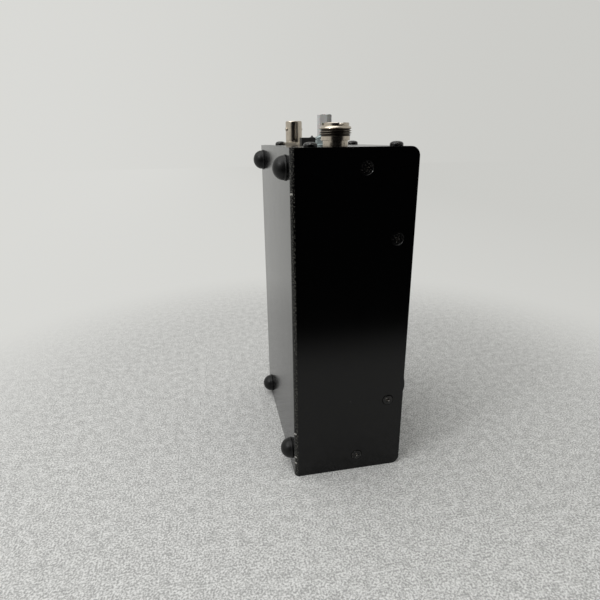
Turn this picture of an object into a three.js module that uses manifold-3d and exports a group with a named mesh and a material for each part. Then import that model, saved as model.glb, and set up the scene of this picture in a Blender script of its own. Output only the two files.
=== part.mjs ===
// A small manual antenna tuner: a sheet-metal case in two halves, a connector panel with two
// coaxial sockets, two screw terminals and a slide switch, and a control panel with three knobs,
// a toggle switch and an indicator lamp. Millimetres, +Z up.
//
// The frame stands the tuner on its plain end: z = 0 is the outside of that end, +Z points to the
// connector panel, +X from the feet to the control panel, and the origin is at the end's centre.

import * as THREE from "three";
import { mergeVertices } from "three/addons/utils/BufferGeometryUtils.js";
import Module from "manifold-3d";

// Case
const CASE_LENGTH = 175.5;
const CASE_WIDTH = 108;
const CASE_THICKNESS = 61;
const SHEET = 1.6;
const COVER_BEND = 2.8;
const CHASSIS_BEND = 4.5;
const TAB_WIDTH = 14;
const TAB_REACH = 16;

// Clearance between round or cut neighbours, and how far a cutter runs past a face
const GAP = 0.3;
const OVERRUN = 1;

// Facets of a large, of a small and of a screw-sized turned piece, and the steps of a bend
const ROUND = 24;
const SMALL_ROUND = 14;
const SCREW_ROUND = 10;
const BEND_STEPS = 3;
const BLADE_STEPS = 8;
const DOME_STEPS = 4;

// Feet, stuck on by hand, so that each has its own distance from its side and from its end
const FOOT = { radius: 5.95, skirt: 1, height: 6.2, tip: 2 };
const FOOT_SPOTS = [
  { side: -1, sideInset: 13, onTop: true, endInset: 9.1 },
  { side: 1, sideInset: 10.5, onTop: true, endInset: 8.7 },
  { side: -1, sideInset: 11.5, onTop: false, endInset: 11.4 },
  { side: 1, sideInset: 15, onTop: false, endInset: 8.4 },
];

// Countersunk side screws: two near the middle of each end, two near the control panel
const SIDE_SCREW = { head: 2.9, headDepth: 1.5, shank: 1.5, length: 5.5 };
const END_SCREW_INSET = 9.2;
const END_SCREW_X = 5;
const CONTROL_SCREW_INSET = 8.6;
const CONTROL_SCREW_END = 42.8;

// Connector panel: four pan-head screws hold a board behind it on standoffs
const PANEL_SCREW = {
  head: 3.25, headRim: 1, headShoulder: 2.35, shoulderHeight: 2, headHeight: 2.2, shank: 1.5, length: 7.6,
};
const PANEL_SCREW_FEET_INSET = 11.4;
const PANEL_SCREW_CONTROL_INSET = 7.5;
const PANEL_SCREW_SIDE_INSET = 10.5;
const LAST_SCREW_SIDE_INSET = 28;
const STANDOFF = { radius: 3, length: 9 };
const BOARD = { thickness: 1.6, overhang: 4.5 };

// Large coaxial socket, from its rim down to the panel
const UHF = {
  x: -3.5, y: -30, rim: 6.7, rimHeight: 1.5, thread: 7.95, threadHeight: 4.6, threadDepth: 0.45,
  rings: 4, neck: 7.15, neckHeight: 2, base: 6.25, baseHeight: 2.6, stem: 5.3, stemLength: 6.6,
  bore: 5.9, boreFloor: 2.7, stemBore: 4.2, insulatorTop: 5.6, contact: 2.4, contactBore: 1.95,
  contactTop: 7, contactDepth: 9, tail: 1, nutFlats: 16, nutHeight: 2.2,
};

// Small bayonet socket
const BNC = {
  x: -12.5, y: 32.5, barrel: 4.85, height: 13.6, bore: 4.05, boreFloor: 4, shoulder: 7,
  shoulderHeight: 2, body: 5.6, lug: 0.95, lugSpan: 11, lugDrop: 4.5, lugTurn: 18,
  insulator: 2.5, insulatorTop: 12, contact: 1.1, contactBore: 0.6, contactTop: 11.6,
  nutFlats: 12.4, nutHeight: 1.7,
};

// Screw terminals
const POST = {
  x: -1.5, y: 0, stud: 2, studTop: 12.4, headRadius: 3.8, headHeight: 2.4, bushRadius: 5,
  bushHeight: 1.5, neck: 3.2, neckDrop: 1, washer: 4.4, washerHeight: 0.8, capFlats: 6.8,
  capTop: 15.9, bevelWidth: 0.9, bevelDrop: 0.6,
};
const GROUND = {
  x: -6.5, y: -15.5, stud: 2, studTop: 5.6, headRadius: 3.6, headHeight: 2.4, washer: 4.4,
  washerHeight: 0.8, nutFlats: 6.5, nutHeight: 4,
};

// Slide switch
const SLIDE = {
  x: -6.5, y: 17, length: 10, width: 5.6, height: 4.2, slotLength: 6.5, slotWidth: 2.8,
  slotDepth: 2.4, nubLength: 2.2, nubProud: 1,
};

// Control panel: y across it and z along it, of the two capacitors, the selector and the rest
const TUNE_SPOT = [-24, 37];
const LOAD_SPOT = [24, 37];
const SELECTOR_SPOT = [0, 87];
const LAMP_SPOT = [-24, 137];
const TOGGLE_SPOT = [24, 137];

// Bush, nut and shaft, alike on the capacitors and the selector
const SHAFT = 3;
const BUSH = { radius: 4.6, height: 3.4, nutFlats: 12, nutHeight: 2 };

// Air-spaced variable capacitor
const CAPACITOR = {
  size: 32, plate: 1.5, depth: 24, tie: 1.6, journal: 2, rotor: 12.8, blade: 0.8, blades: 5,
  pitch: 3.6, stator: 14.4, bar: 1.6, hub: 4.4,
};

// Selector switch and the tapped coil behind it
const SELECTOR = { radius: 14, depth: 16, wafer: 3 };
const COIL = { outer: 13.5, inner: 7.2, height: 11, wire: 1.1, coveredTurn: 300 };

// Knobs
const SMALL_KNOB = { skirt: 8.6, top: 7.9, height: 11.3, floor: 0.8, recess: 7.4, recessHeight: 3.2 };
const LARGE_KNOB = { skirt: 12, top: 10.8, height: 14, floor: 0.8, recess: 9, recessHeight: 3.2 };
const KNOB_CHAMFER = 0.8;
const KNOB_ROOF = 2.2;

// Toggle switch, thrown to one side at rest
const TOGGLE = {
  bodyLength: 13, bodyWidth: 8, bodyDepth: 10, bush: 3, bushBore: 2.4, bushHeight: 5.5,
  nutFlats: 8, nutHeight: 2, pivotHeight: 1.2, leverRoot: 1.1, leverNeck: 1.6, leverTip: 2,
  tipRound: 1.2, tipLength: 4, leverLength: 15, tilt: 12,
};

// Indicator lamp
const LAMP = { radius: 1.5, height: 2.8, flange: 2.3, flangeHeight: 1 };

const COLOURS = {
  blackPaint: new THREE.MeshStandardMaterial({ color: 0x121314, roughness: 0.5, metalness: 0.1 }),
  blackScrew: new THREE.MeshStandardMaterial({ color: 0x16171a, roughness: 0.35, metalness: 0.7 }),
  rubber: new THREE.MeshStandardMaterial({ color: 0x0e0e0f, roughness: 0.8, metalness: 0 }),
  nickel: new THREE.MeshStandardMaterial({ color: 0xb9b1a3, roughness: 0.3, metalness: 1 }),
  zinc: new THREE.MeshStandardMaterial({ color: 0xb4c3c3, roughness: 0.35, metalness: 1 }),
  brass: new THREE.MeshStandardMaterial({ color: 0xc79a4a, roughness: 0.35, metalness: 1 }),
  greyPlastic: new THREE.MeshStandardMaterial({ color: 0xa8a9a8, roughness: 0.6, metalness: 0 }),
  blackPlastic: new THREE.MeshStandardMaterial({ color: 0x111214, roughness: 0.4, metalness: 0 }),
  whitePlastic: new THREE.MeshStandardMaterial({ color: 0xe6e2d8, roughness: 0.5, metalness: 0 }),
  board: new THREE.MeshStandardMaterial({ color: 0x1f5a34, roughness: 0.5, metalness: 0 }),
  aluminium: new THREE.MeshStandardMaterial({ color: 0xbfc2c4, roughness: 0.4, metalness: 1 }),
  ferrite: new THREE.MeshStandardMaterial({ color: 0x8e1f18, roughness: 0.6, metalness: 0 }),
  copper: new THREE.MeshStandardMaterial({ color: 0xb4622c, roughness: 0.35, metalness: 1 }),
  lamp: new THREE.MeshStandardMaterial({ color: 0xb01812, roughness: 0.2, metalness: 0 }),
};

const MERGE_DISTANCE = 1e-4;
const QUARTER = Math.PI / 2;

const wasm = await Module();
wasm.setup();

// ---- Solids ----

// A closed geometry as a solid that can be joined and cut.
function solidOf(geometry) {
  const loose = geometry.index ? geometry.toNonIndexed() : geometry;
  const bare = new THREE.BufferGeometry();
  bare.setAttribute("position", loose.getAttribute("position"));
  const merged = mergeVertices(bare, MERGE_DISTANCE);
  return new wasm.Manifold(new wasm.Mesh({
    numProp: 3,
    vertProperties: merged.getAttribute("position").array,
    triVerts: new Uint32Array(merged.index.array),
  }));
}

function geometryOf(solid) {
  const { vertProperties, triVerts } = solid.getMesh();
  const geometry = new THREE.BufferGeometry();
  geometry.setAttribute("position", new THREE.BufferAttribute(vertProperties, 3));
  geometry.setIndex(new THREE.BufferAttribute(triVerts, 1));
  geometry.computeVertexNormals();
  return geometry;
}

function join(first, ...others) {
  return others.reduce((whole, piece) => whole.add(piece), first);
}

function cut(first, ...others) {
  return others.reduce((whole, piece) => whole.subtract(piece), first);
}

// A box between two corners.
function block([x0, x1], [y0, y1], [z0, z1]) {
  const geometry = new THREE.BoxGeometry(x1 - x0, y1 - y0, z1 - z0);
  return solidOf(geometry.translate((x0 + x1) / 2, (y0 + y1) / 2, (z0 + z1) / 2));
}

// A profile of [radius, height] points, counter-clockwise, turned about the Z axis.
function turnedGeometry(profile, facets = SMALL_ROUND) {
  const points = profile.map(([radius, height]) => new THREE.Vector2(radius, height));
  return new THREE.LatheGeometry(points, facets).rotateX(QUARTER);
}

function turned(profile, facets) {
  return solidOf(turnedGeometry(profile, facets));
}

function rodGeometry(radius, bottom, top, facets) {
  return turnedGeometry([[0, bottom], [radius, bottom], [radius, top], [0, top]], facets);
}

function rod(radius, bottom, top, [x, y] = [0, 0], facets = SMALL_ROUND) {
  return solidOf(rodGeometry(radius, bottom, top, facets).translate(x, y, 0));
}

function ring(inner, outer, bottom, top, facets = SMALL_ROUND) {
  return turned([[inner, bottom], [outer, bottom], [outer, top], [inner, top], [inner, bottom]], facets);
}

// A hexagonal bar along Z, its size given across the flats.
function hexBar(flats, bottom, top) {
  const corner = flats / Math.sqrt(3);
  const geometry = new THREE.CylinderGeometry(corner, corner, top - bottom, 6);
  return solidOf(geometry.rotateX(QUARTER).translate(0, 0, (bottom + top) / 2));
}

function hexNut(flats, bore, bottom, top) {
  return cut(hexBar(flats, bottom, top), rod(bore, bottom - OVERRUN, top + OVERRUN));
}

// ---- Scene ----

const tuner = new THREE.Group();

// A place that pieces stand on: its own +Z points out of the panel.
function station(parent, position, rotation = [0, 0, 0]) {
  const place = new THREE.Group();
  place.position.set(...position);
  place.rotation.set(...rotation);
  parent.add(place);
  place.updateWorldMatrix(true, false);
  return place;
}

function addPiece(place, name, solid, material) {
  const mesh = new THREE.Mesh(geometryOf(solid), material);
  mesh.name = name;
  place.add(mesh);
}

// The same cutter, carried from its station to the frame of the case.
function cutterAt(place, geometry) {
  return solidOf(geometry.clone().applyMatrix4(place.matrixWorld));
}

const connectorPanel = station(tuner, [0, 0, CASE_LENGTH]);
const controlPanel = station(tuner, [CASE_THICKNESS / 2, 0, 0], [0, QUARTER, 0]);
const feetPlate = station(tuner, [-CASE_THICKNESS / 2, 0, 0], [0, -QUARTER, 0]);

function controlStation([across, along]) {
  return station(controlPanel, [-along, across, 0]);
}

const uhfPlace = station(connectorPanel, [UHF.x, UHF.y, 0]);
const bncPlace = station(connectorPanel, [BNC.x, BNC.y, 0]);
const postPlace = station(connectorPanel, [POST.x, POST.y, 0]);
const groundPlace = station(connectorPanel, [GROUND.x, GROUND.y, 0]);
const slidePlace = station(connectorPanel, [SLIDE.x, SLIDE.y, 0]);
const tunePlace = controlStation(TUNE_SPOT);
const loadPlace = controlStation(LOAD_SPOT);
const selectorPlace = controlStation(SELECTOR_SPOT);
const lampPlace = controlStation(LAMP_SPOT);
const togglePlace = controlStation(TOGGLE_SPOT);

const panelScrewX = [
  PANEL_SCREW_FEET_INSET - CASE_THICKNESS / 2,
  CASE_THICKNESS / 2 - PANEL_SCREW_CONTROL_INSET,
];
const panelScrewY = CASE_WIDTH / 2 - PANEL_SCREW_SIDE_INSET;
const panelScrewPlaces = [
  [panelScrewX[0], -panelScrewY],
  [panelScrewX[0], panelScrewY],
  [panelScrewX[1], -panelScrewY],
  [panelScrewX[1], CASE_WIDTH / 2 - LAST_SCREW_SIDE_INSET],
].map(([x, y]) => station(connectorPanel, [x, y, 0]));

const sideScrewSpots = [
  { x: END_SCREW_X, z: CASE_LENGTH - END_SCREW_INSET, onEnd: true },
  { x: CASE_THICKNESS / 2 - CONTROL_SCREW_INSET, z: CASE_LENGTH - CONTROL_SCREW_END, onEnd: false },
  { x: CASE_THICKNESS / 2 - CONTROL_SCREW_INSET, z: CONTROL_SCREW_END, onEnd: false },
  { x: END_SCREW_X, z: END_SCREW_INSET, onEnd: true },
];
const sideScrewPlaces = [-1, 1].flatMap((side) => sideScrewSpots.map(
  ({ x, z }) => station(tuner, [x, side * CASE_WIDTH / 2, z], [-side * QUARTER, 0, 0]),
));

// ---- Case ----

// The section of a sheet bent into a U: the web lies along Y at x = 0, the legs reach +X.
function bentSection(web, leg, bend) {
  const half = web / 2;
  const inner = bend - SHEET;
  const section = new THREE.Shape();
  section.moveTo(leg, half);
  section.lineTo(leg, half - SHEET);
  section.absarc(bend, half - bend, inner, QUARTER, 2 * QUARTER, false);
  section.absarc(bend, bend - half, inner, 2 * QUARTER, 3 * QUARTER, false);
  section.lineTo(leg, SHEET - half);
  section.lineTo(leg, -half);
  section.absarc(bend, bend - half, bend, 3 * QUARTER, 2 * QUARTER, true);
  section.absarc(bend, half - bend, bend, 2 * QUARTER, QUARTER, true);
  section.closePath();
  return section;
}

function bentSheet(web, leg, bend, width) {
  const section = bentSection(web, leg, bend);
  return new THREE.ExtrudeGeometry(section, { depth: width, bevelEnabled: false, curveSegments: BEND_STEPS });
}

// The outline of the case from the side, round at the control panel's two bends.
function sideOutline(depth) {
  const outline = new THREE.Shape();
  const left = -CASE_THICKNESS / 2 - OVERRUN;
  const right = CASE_THICKNESS / 2;
  outline.moveTo(left, 0);
  outline.lineTo(right - CHASSIS_BEND, 0);
  outline.absarc(right - CHASSIS_BEND, CHASSIS_BEND, CHASSIS_BEND, -QUARTER, 0, false);
  outline.absarc(right - CHASSIS_BEND, CASE_LENGTH - CHASSIS_BEND, CHASSIS_BEND, 0, QUARTER, false);
  outline.lineTo(left, CASE_LENGTH);
  outline.closePath();
  const geometry = new THREE.ExtrudeGeometry(outline, {
    depth, bevelEnabled: false, curveSegments: BEND_STEPS,
  });
  return geometry.rotateX(QUARTER).translate(0, depth / 2, 0);
}

function makeBaseCover() {
  const sheet = bentSheet(CASE_WIDTH, CASE_THICKNESS, COVER_BEND, CASE_LENGTH);
  sheet.translate(-CASE_THICKNESS / 2, 0, 0);
  const outline = solidOf(sideOutline(CASE_WIDTH + 2 * OVERRUN));
  const countersink = turnedGeometry([
    [0, -SHEET - OVERRUN],
    [SIDE_SCREW.shank + GAP, -SHEET - OVERRUN],
    [SIDE_SCREW.shank + GAP, -SIDE_SCREW.headDepth],
    [SIDE_SCREW.head + GAP, 0],
    [SIDE_SCREW.head + GAP, OVERRUN],
    [0, OVERRUN],
  ], SCREW_ROUND);
  const holes = sideScrewPlaces.map((place) => cutterAt(place, countersink));
  addPiece(tuner, "base_cover", cut(solidOf(sheet).intersect(outline), ...holes), COLOURS.blackPaint);
}

const chassisHalf = CASE_WIDTH / 2 - SHEET - GAP;

// One tab behind a side screw, folded in from the edge of the end or of the control panel.
function makeTab({ x, z, onEnd }, side) {
  const thickness = [side * chassisHalf, side * (chassisHalf - SHEET)].sort((a, b) => a - b);
  if (!onEnd) {
    const span = [CASE_THICKNESS / 2 - TAB_REACH, CASE_THICKNESS / 2 - SHEET / 2];
    return block(span, thickness, [z - TAB_WIDTH / 2, z + TAB_WIDTH / 2]);
  }
  const top = z > CASE_LENGTH / 2;
  const height = top ? [CASE_LENGTH - TAB_REACH, CASE_LENGTH - SHEET / 2] : [SHEET / 2, TAB_REACH];
  return block([x - TAB_WIDTH / 2, x + TAB_WIDTH / 2], thickness, height);
}

function throughPanel(radius) {
  return rodGeometry(radius, -SHEET - OVERRUN, OVERRUN);
}

function makeChassis() {
  const leg = CASE_THICKNESS - COVER_BEND;
  const sheet = bentSheet(CASE_LENGTH, leg, CHASSIS_BEND, 2 * chassisHalf);
  sheet.rotateX(QUARTER).rotateZ(2 * QUARTER);
  sheet.translate(CASE_THICKNESS / 2, -chassisHalf, CASE_LENGTH / 2);
  const tabs = [-1, 1].flatMap((side) => sideScrewSpots.map((spot) => makeTab(spot, side)));
  const tabHole = rodGeometry(
    SIDE_SCREW.shank + GAP, -SIDE_SCREW.length - OVERRUN, OVERRUN, SCREW_ROUND,
  );
  const slideWindow = new THREE.BoxGeometry(
    SLIDE.length + 2 * GAP, SLIDE.width + 2 * GAP, 2 * (SHEET + OVERRUN),
  );
  const holes = [
    ...sideScrewPlaces.map((place) => cutterAt(place, tabHole)),
    ...panelScrewPlaces.map((place) => cutterAt(place, throughPanel(PANEL_SCREW.shank + GAP))),
    cutterAt(uhfPlace, throughPanel(UHF.stem + GAP)),
    cutterAt(bncPlace, throughPanel(BNC.barrel + GAP)),
    cutterAt(postPlace, throughPanel(POST.neck + GAP)),
    cutterAt(groundPlace, throughPanel(GROUND.stud + GAP)),
    cutterAt(slidePlace, slideWindow),
    ...[tunePlace, loadPlace, selectorPlace].map(
      (place) => cutterAt(place, throughPanel(BUSH.radius + GAP)),
    ),
    cutterAt(lampPlace, throughPanel(LAMP.radius + GAP)),
    cutterAt(togglePlace, throughPanel(TOGGLE.bush + GAP)),
  ];
  addPiece(tuner, "chassis", cut(join(solidOf(sheet), ...tabs), ...holes), COLOURS.blackPaint);
}

function makeFeet() {
  const dome = [];
  const rise = FOOT.height - FOOT.skirt;
  for (let step = 0; step <= DOME_STEPS; step += 1) {
    const angle = (step / DOME_STEPS) * QUARTER;
    const radius = FOOT.tip + (FOOT.radius - FOOT.tip) * Math.cos(angle);
    dome.push([radius, FOOT.skirt + rise * Math.sin(angle)]);
  }
  const profile = [[0, 0], [FOOT.radius, 0], ...dome, [0, FOOT.height]];
  FOOT_SPOTS.forEach(({ side, sideInset, onTop, endInset }, index) => {
    const y = side * (CASE_WIDTH / 2 - sideInset);
    const z = onTop ? CASE_LENGTH - endInset : endInset;
    addPiece(station(feetPlate, [z, y, 0]), `foot_${index + 1}`, turned(profile, ROUND), COLOURS.rubber);
  });
}

function makeSideScrews() {
  const profile = [
    [0, -SIDE_SCREW.length],
    [SIDE_SCREW.shank, -SIDE_SCREW.length],
    [SIDE_SCREW.shank, -SIDE_SCREW.headDepth],
    [SIDE_SCREW.head, 0],
    [0, 0],
  ];
  sideScrewPlaces.forEach((place, index) => {
    addPiece(place, `side_screw_${index + 1}`, turned(profile, SCREW_ROUND), COLOURS.blackScrew);
  });
}

// ---- Connector panel ----

const boardTop = -SHEET - STANDOFF.length;

function makeBoardAndStandoffs() {
  const screw = [
    [0, -PANEL_SCREW.length],
    [PANEL_SCREW.shank, -PANEL_SCREW.length],
    [PANEL_SCREW.shank, 0],
    [PANEL_SCREW.head, 0],
    [PANEL_SCREW.head, PANEL_SCREW.headRim],
    [PANEL_SCREW.headShoulder, PANEL_SCREW.shoulderHeight],
    [0, PANEL_SCREW.headHeight],
  ];
  const standoff = ring(PANEL_SCREW.shank + GAP, STANDOFF.radius, boardTop, -SHEET, SCREW_ROUND);
  panelScrewPlaces.forEach((place, index) => {
    addPiece(place, `panel_screw_${index + 1}`, turned(screw, SCREW_ROUND), COLOURS.blackScrew);
    addPiece(place, `standoff_${index + 1}`, standoff, COLOURS.brass);
  });
  const board = block(
    [panelScrewX[0] - BOARD.overhang, panelScrewX[1] + BOARD.overhang],
    [-panelScrewY - BOARD.overhang, panelScrewY + BOARD.overhang],
    [boardTop - BOARD.thickness, boardTop],
  );
  const tailHole = rod(UHF.tail + GAP, boardTop - BOARD.thickness - OVERRUN, boardTop + OVERRUN,
    [UHF.x, UHF.y]);
  addPiece(connectorPanel, "connector_board", cut(board, tailHole), COLOURS.board);
}

function makeUhfSocket() {
  const neckFoot = UHF.baseHeight;
  const threadFoot = neckFoot + UHF.neckHeight;
  const rimFoot = threadFoot + UHF.threadHeight;
  const top = rimFoot + UHF.rimHeight;
  const pitch = UHF.threadHeight / UHF.rings;
  const ridges = [[UHF.thread - UHF.threadDepth, threadFoot]];
  for (let turn = 0; turn < UHF.rings; turn += 1) {
    ridges.push([UHF.thread, threadFoot + (turn + 0.5) * pitch]);
    ridges.push([UHF.thread - UHF.threadDepth, threadFoot + (turn + 1) * pitch]);
  }
  const shell = turned([
    [UHF.stemBore, -UHF.stemLength],
    [UHF.stem, -UHF.stemLength],
    [UHF.stem, 0],
    [UHF.base, 0],
    [UHF.base, neckFoot],
    [UHF.neck, neckFoot],
    [UHF.neck, threadFoot],
    ...ridges,
    [UHF.rim, rimFoot],
    [UHF.rim, top],
    [UHF.bore, top],
    [UHF.bore, UHF.boreFloor],
    [UHF.stemBore, UHF.boreFloor],
    [UHF.stemBore, -UHF.stemLength],
  ], ROUND);
  const insulator = turned([
    [UHF.contact + GAP, -UHF.stemLength],
    [UHF.stemBore - GAP, -UHF.stemLength],
    [UHF.stemBore - GAP, UHF.boreFloor],
    [UHF.bore - GAP, UHF.boreFloor],
    [UHF.bore - GAP, UHF.insulatorTop],
    [UHF.contact + GAP, UHF.insulatorTop],
    [UHF.contact + GAP, -UHF.stemLength],
  ]);
  const contact = turned([
    [0, boardTop - BOARD.thickness],
    [UHF.tail, boardTop - BOARD.thickness],
    [UHF.tail, -UHF.stemLength],
    [UHF.contact, -UHF.stemLength],
    [UHF.contact, UHF.contactTop],
    [UHF.contactBore, UHF.contactTop],
    [UHF.contactBore, UHF.contactTop - UHF.contactDepth],
    [0, UHF.contactTop - UHF.contactDepth],
  ]);
  const nut = hexNut(UHF.nutFlats, UHF.stem + GAP, -SHEET - UHF.nutHeight, -SHEET);
  addPiece(uhfPlace, "uhf_shell", shell, COLOURS.nickel);
  addPiece(uhfPlace, "uhf_insulator", insulator, COLOURS.whitePlastic);
  addPiece(uhfPlace, "uhf_contact", contact, COLOURS.brass);
  addPiece(uhfPlace, "uhf_nut", nut, COLOURS.nickel);
}

function makeBncSocket() {
  const shoulderFoot = -SHEET - BNC.shoulderHeight;
  const barrel = turned([
    [BNC.bore, boardTop],
    [BNC.body, boardTop],
    [BNC.body, shoulderFoot],
    [BNC.shoulder, shoulderFoot],
    [BNC.shoulder, -SHEET],
    [BNC.barrel, -SHEET],
    [BNC.barrel, BNC.height],
    [BNC.bore, BNC.height],
    [BNC.bore, boardTop],
  ], ROUND);
  const lugs = new THREE.CylinderGeometry(BNC.lug, BNC.lug, BNC.lugSpan, SCREW_ROUND);
  lugs.rotateZ(QUARTER).rotateZ(THREE.MathUtils.degToRad(BNC.lugTurn));
  lugs.translate(0, 0, BNC.height - BNC.lugDrop);
  const insideOfBarrel = rod(BNC.bore, BNC.boreFloor, BNC.height + OVERRUN);
  const shell = join(barrel, cut(solidOf(lugs), insideOfBarrel));
  const insulator = turned([
    [BNC.contact + GAP, boardTop],
    [BNC.bore - GAP, boardTop],
    [BNC.bore - GAP, BNC.boreFloor],
    [BNC.insulator, BNC.boreFloor],
    [BNC.insulator, BNC.insulatorTop],
    [BNC.contact + GAP, BNC.insulatorTop],
    [BNC.contact + GAP, boardTop],
  ]);
  const contact = turned([
    [0, boardTop],
    [BNC.contact, boardTop],
    [BNC.contact, BNC.contactTop],
    [BNC.contactBore, BNC.contactTop],
    [BNC.contactBore, BNC.boreFloor],
    [0, BNC.boreFloor],
  ], SCREW_ROUND);
  addPiece(bncPlace, "bnc_shell", shell, COLOURS.nickel);
  addPiece(bncPlace, "bnc_insulator", insulator, COLOURS.whitePlastic);
  addPiece(bncPlace, "bnc_contact", contact, COLOURS.brass);
  addPiece(bncPlace, "bnc_nut", hexNut(BNC.nutFlats, BNC.barrel + GAP, 0, BNC.nutHeight), COLOURS.nickel);
}

// A threaded stud with its head behind the panel.
function stud(radius, top, headRadius, headHeight, seat) {
  return turned([
    [0, seat - headHeight],
    [headRadius, seat - headHeight],
    [headRadius, seat],
    [radius, seat],
    [radius, top],
    [0, top],
  ]);
}

function makePost() {
  const neckEnd = -SHEET - POST.neckDrop;
  const bore = POST.stud + GAP;
  const bush = turned([
    [bore, neckEnd],
    [POST.neck, neckEnd],
    [POST.neck, 0],
    [POST.bushRadius, 0],
    [POST.bushRadius, POST.bushHeight],
    [bore, POST.bushHeight],
    [bore, neckEnd],
  ]);
  const washerTop = POST.bushHeight + POST.washerHeight;
  const corner = POST.capFlats / Math.sqrt(3);
  const bevelRun = (POST.bevelWidth + OVERRUN) / POST.bevelWidth;
  const bevel = turned([
    [0, washerTop - OVERRUN],
    [corner + OVERRUN, washerTop - OVERRUN],
    [corner + OVERRUN, POST.capTop - POST.bevelDrop * bevelRun],
    [corner - POST.bevelWidth, POST.capTop],
    [0, POST.capTop],
  ], ROUND);
  const threadHole = rod(bore, washerTop - OVERRUN, POST.studTop + OVERRUN);
  const cap = hexBar(POST.capFlats, washerTop, POST.capTop).intersect(bevel);
  const postStud = stud(POST.stud, POST.studTop, POST.headRadius, POST.headHeight, neckEnd);
  addPiece(postPlace, "post_bush", bush, COLOURS.blackPlastic);
  addPiece(postPlace, "post_stud", postStud, COLOURS.nickel);
  addPiece(postPlace, "post_washer", ring(bore, POST.washer, POST.bushHeight, washerTop), COLOURS.nickel);
  addPiece(postPlace, "post_cap", cut(cap, threadHole), COLOURS.greyPlastic);
}

function makeGroundTerminal() {
  const bore = GROUND.stud + GAP;
  const nutTop = GROUND.washerHeight + GROUND.nutHeight;
  const groundStud = stud(GROUND.stud, GROUND.studTop, GROUND.headRadius, GROUND.headHeight, -SHEET);
  addPiece(groundPlace, "ground_stud", groundStud, COLOURS.zinc);
  addPiece(groundPlace, "ground_washer", ring(bore, GROUND.washer, 0, GROUND.washerHeight), COLOURS.zinc);
  addPiece(groundPlace, "ground_nut", hexNut(GROUND.nutFlats, bore, GROUND.washerHeight, nutTop),
    COLOURS.zinc);
}

function makeSlideSwitch() {
  const slotFloor = SLIDE.height - SLIDE.slotDepth;
  const body = block(
    [-SLIDE.length / 2, SLIDE.length / 2], [-SLIDE.width / 2, SLIDE.width / 2], [boardTop, SLIDE.height],
  );
  const slot = block(
    [-SLIDE.slotLength / 2, SLIDE.slotLength / 2],
    [-SLIDE.slotWidth / 2, SLIDE.slotWidth / 2],
    [slotFloor, SLIDE.height + OVERRUN],
  );
  const nubEnd = SLIDE.slotLength / 2 - GAP;
  const nubSide = SLIDE.slotWidth / 2 - GAP;
  const slider = block(
    [nubEnd - SLIDE.nubLength, nubEnd], [-nubSide, nubSide], [slotFloor, SLIDE.height + SLIDE.nubProud],
  );
  addPiece(slidePlace, "slide_switch_body", cut(body, slot), COLOURS.blackPlastic);
  addPiece(slidePlace, "slide_switch_slider", slider, COLOURS.blackPlastic);
}

// ---- Control panel ----

function bushNut(place, name) {
  addPiece(place, name, hexNut(BUSH.nutFlats, BUSH.radius + GAP, 0, BUSH.nutHeight), COLOURS.nickel);
}

function makeKnob(place, name, knob) {
  const boreTop = knob.height - KNOB_ROOF;
  const bore = SHAFT + GAP;
  const profile = [
    [bore, knob.floor + knob.recessHeight],
    [knob.recess, knob.floor + knob.recessHeight],
    [knob.recess, knob.floor],
    [knob.skirt, knob.floor],
    [knob.top, knob.height - KNOB_CHAMFER],
    [knob.top - KNOB_CHAMFER, knob.height],
    [0, knob.height],
    [0, boreTop],
    [bore, boreTop],
    [bore, knob.floor + knob.recessHeight],
  ];
  addPiece(place, name, turned(profile, ROUND), COLOURS.blackPlastic);
  return boreTop - GAP;
}

// A half disc in the plane z = bottom, open side towards -X, on the hub of the rotor.
function halfDisc(radius, bottom, thickness) {
  const outline = new THREE.Shape();
  outline.moveTo(0, -radius);
  outline.absarc(0, 0, radius, -QUARTER, QUARTER, false);
  outline.closePath();
  const geometry = new THREE.ExtrudeGeometry(outline, {
    depth: thickness, bevelEnabled: false, curveSegments: BLADE_STEPS,
  });
  return solidOf(geometry.translate(0, 0, bottom));
}

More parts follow.
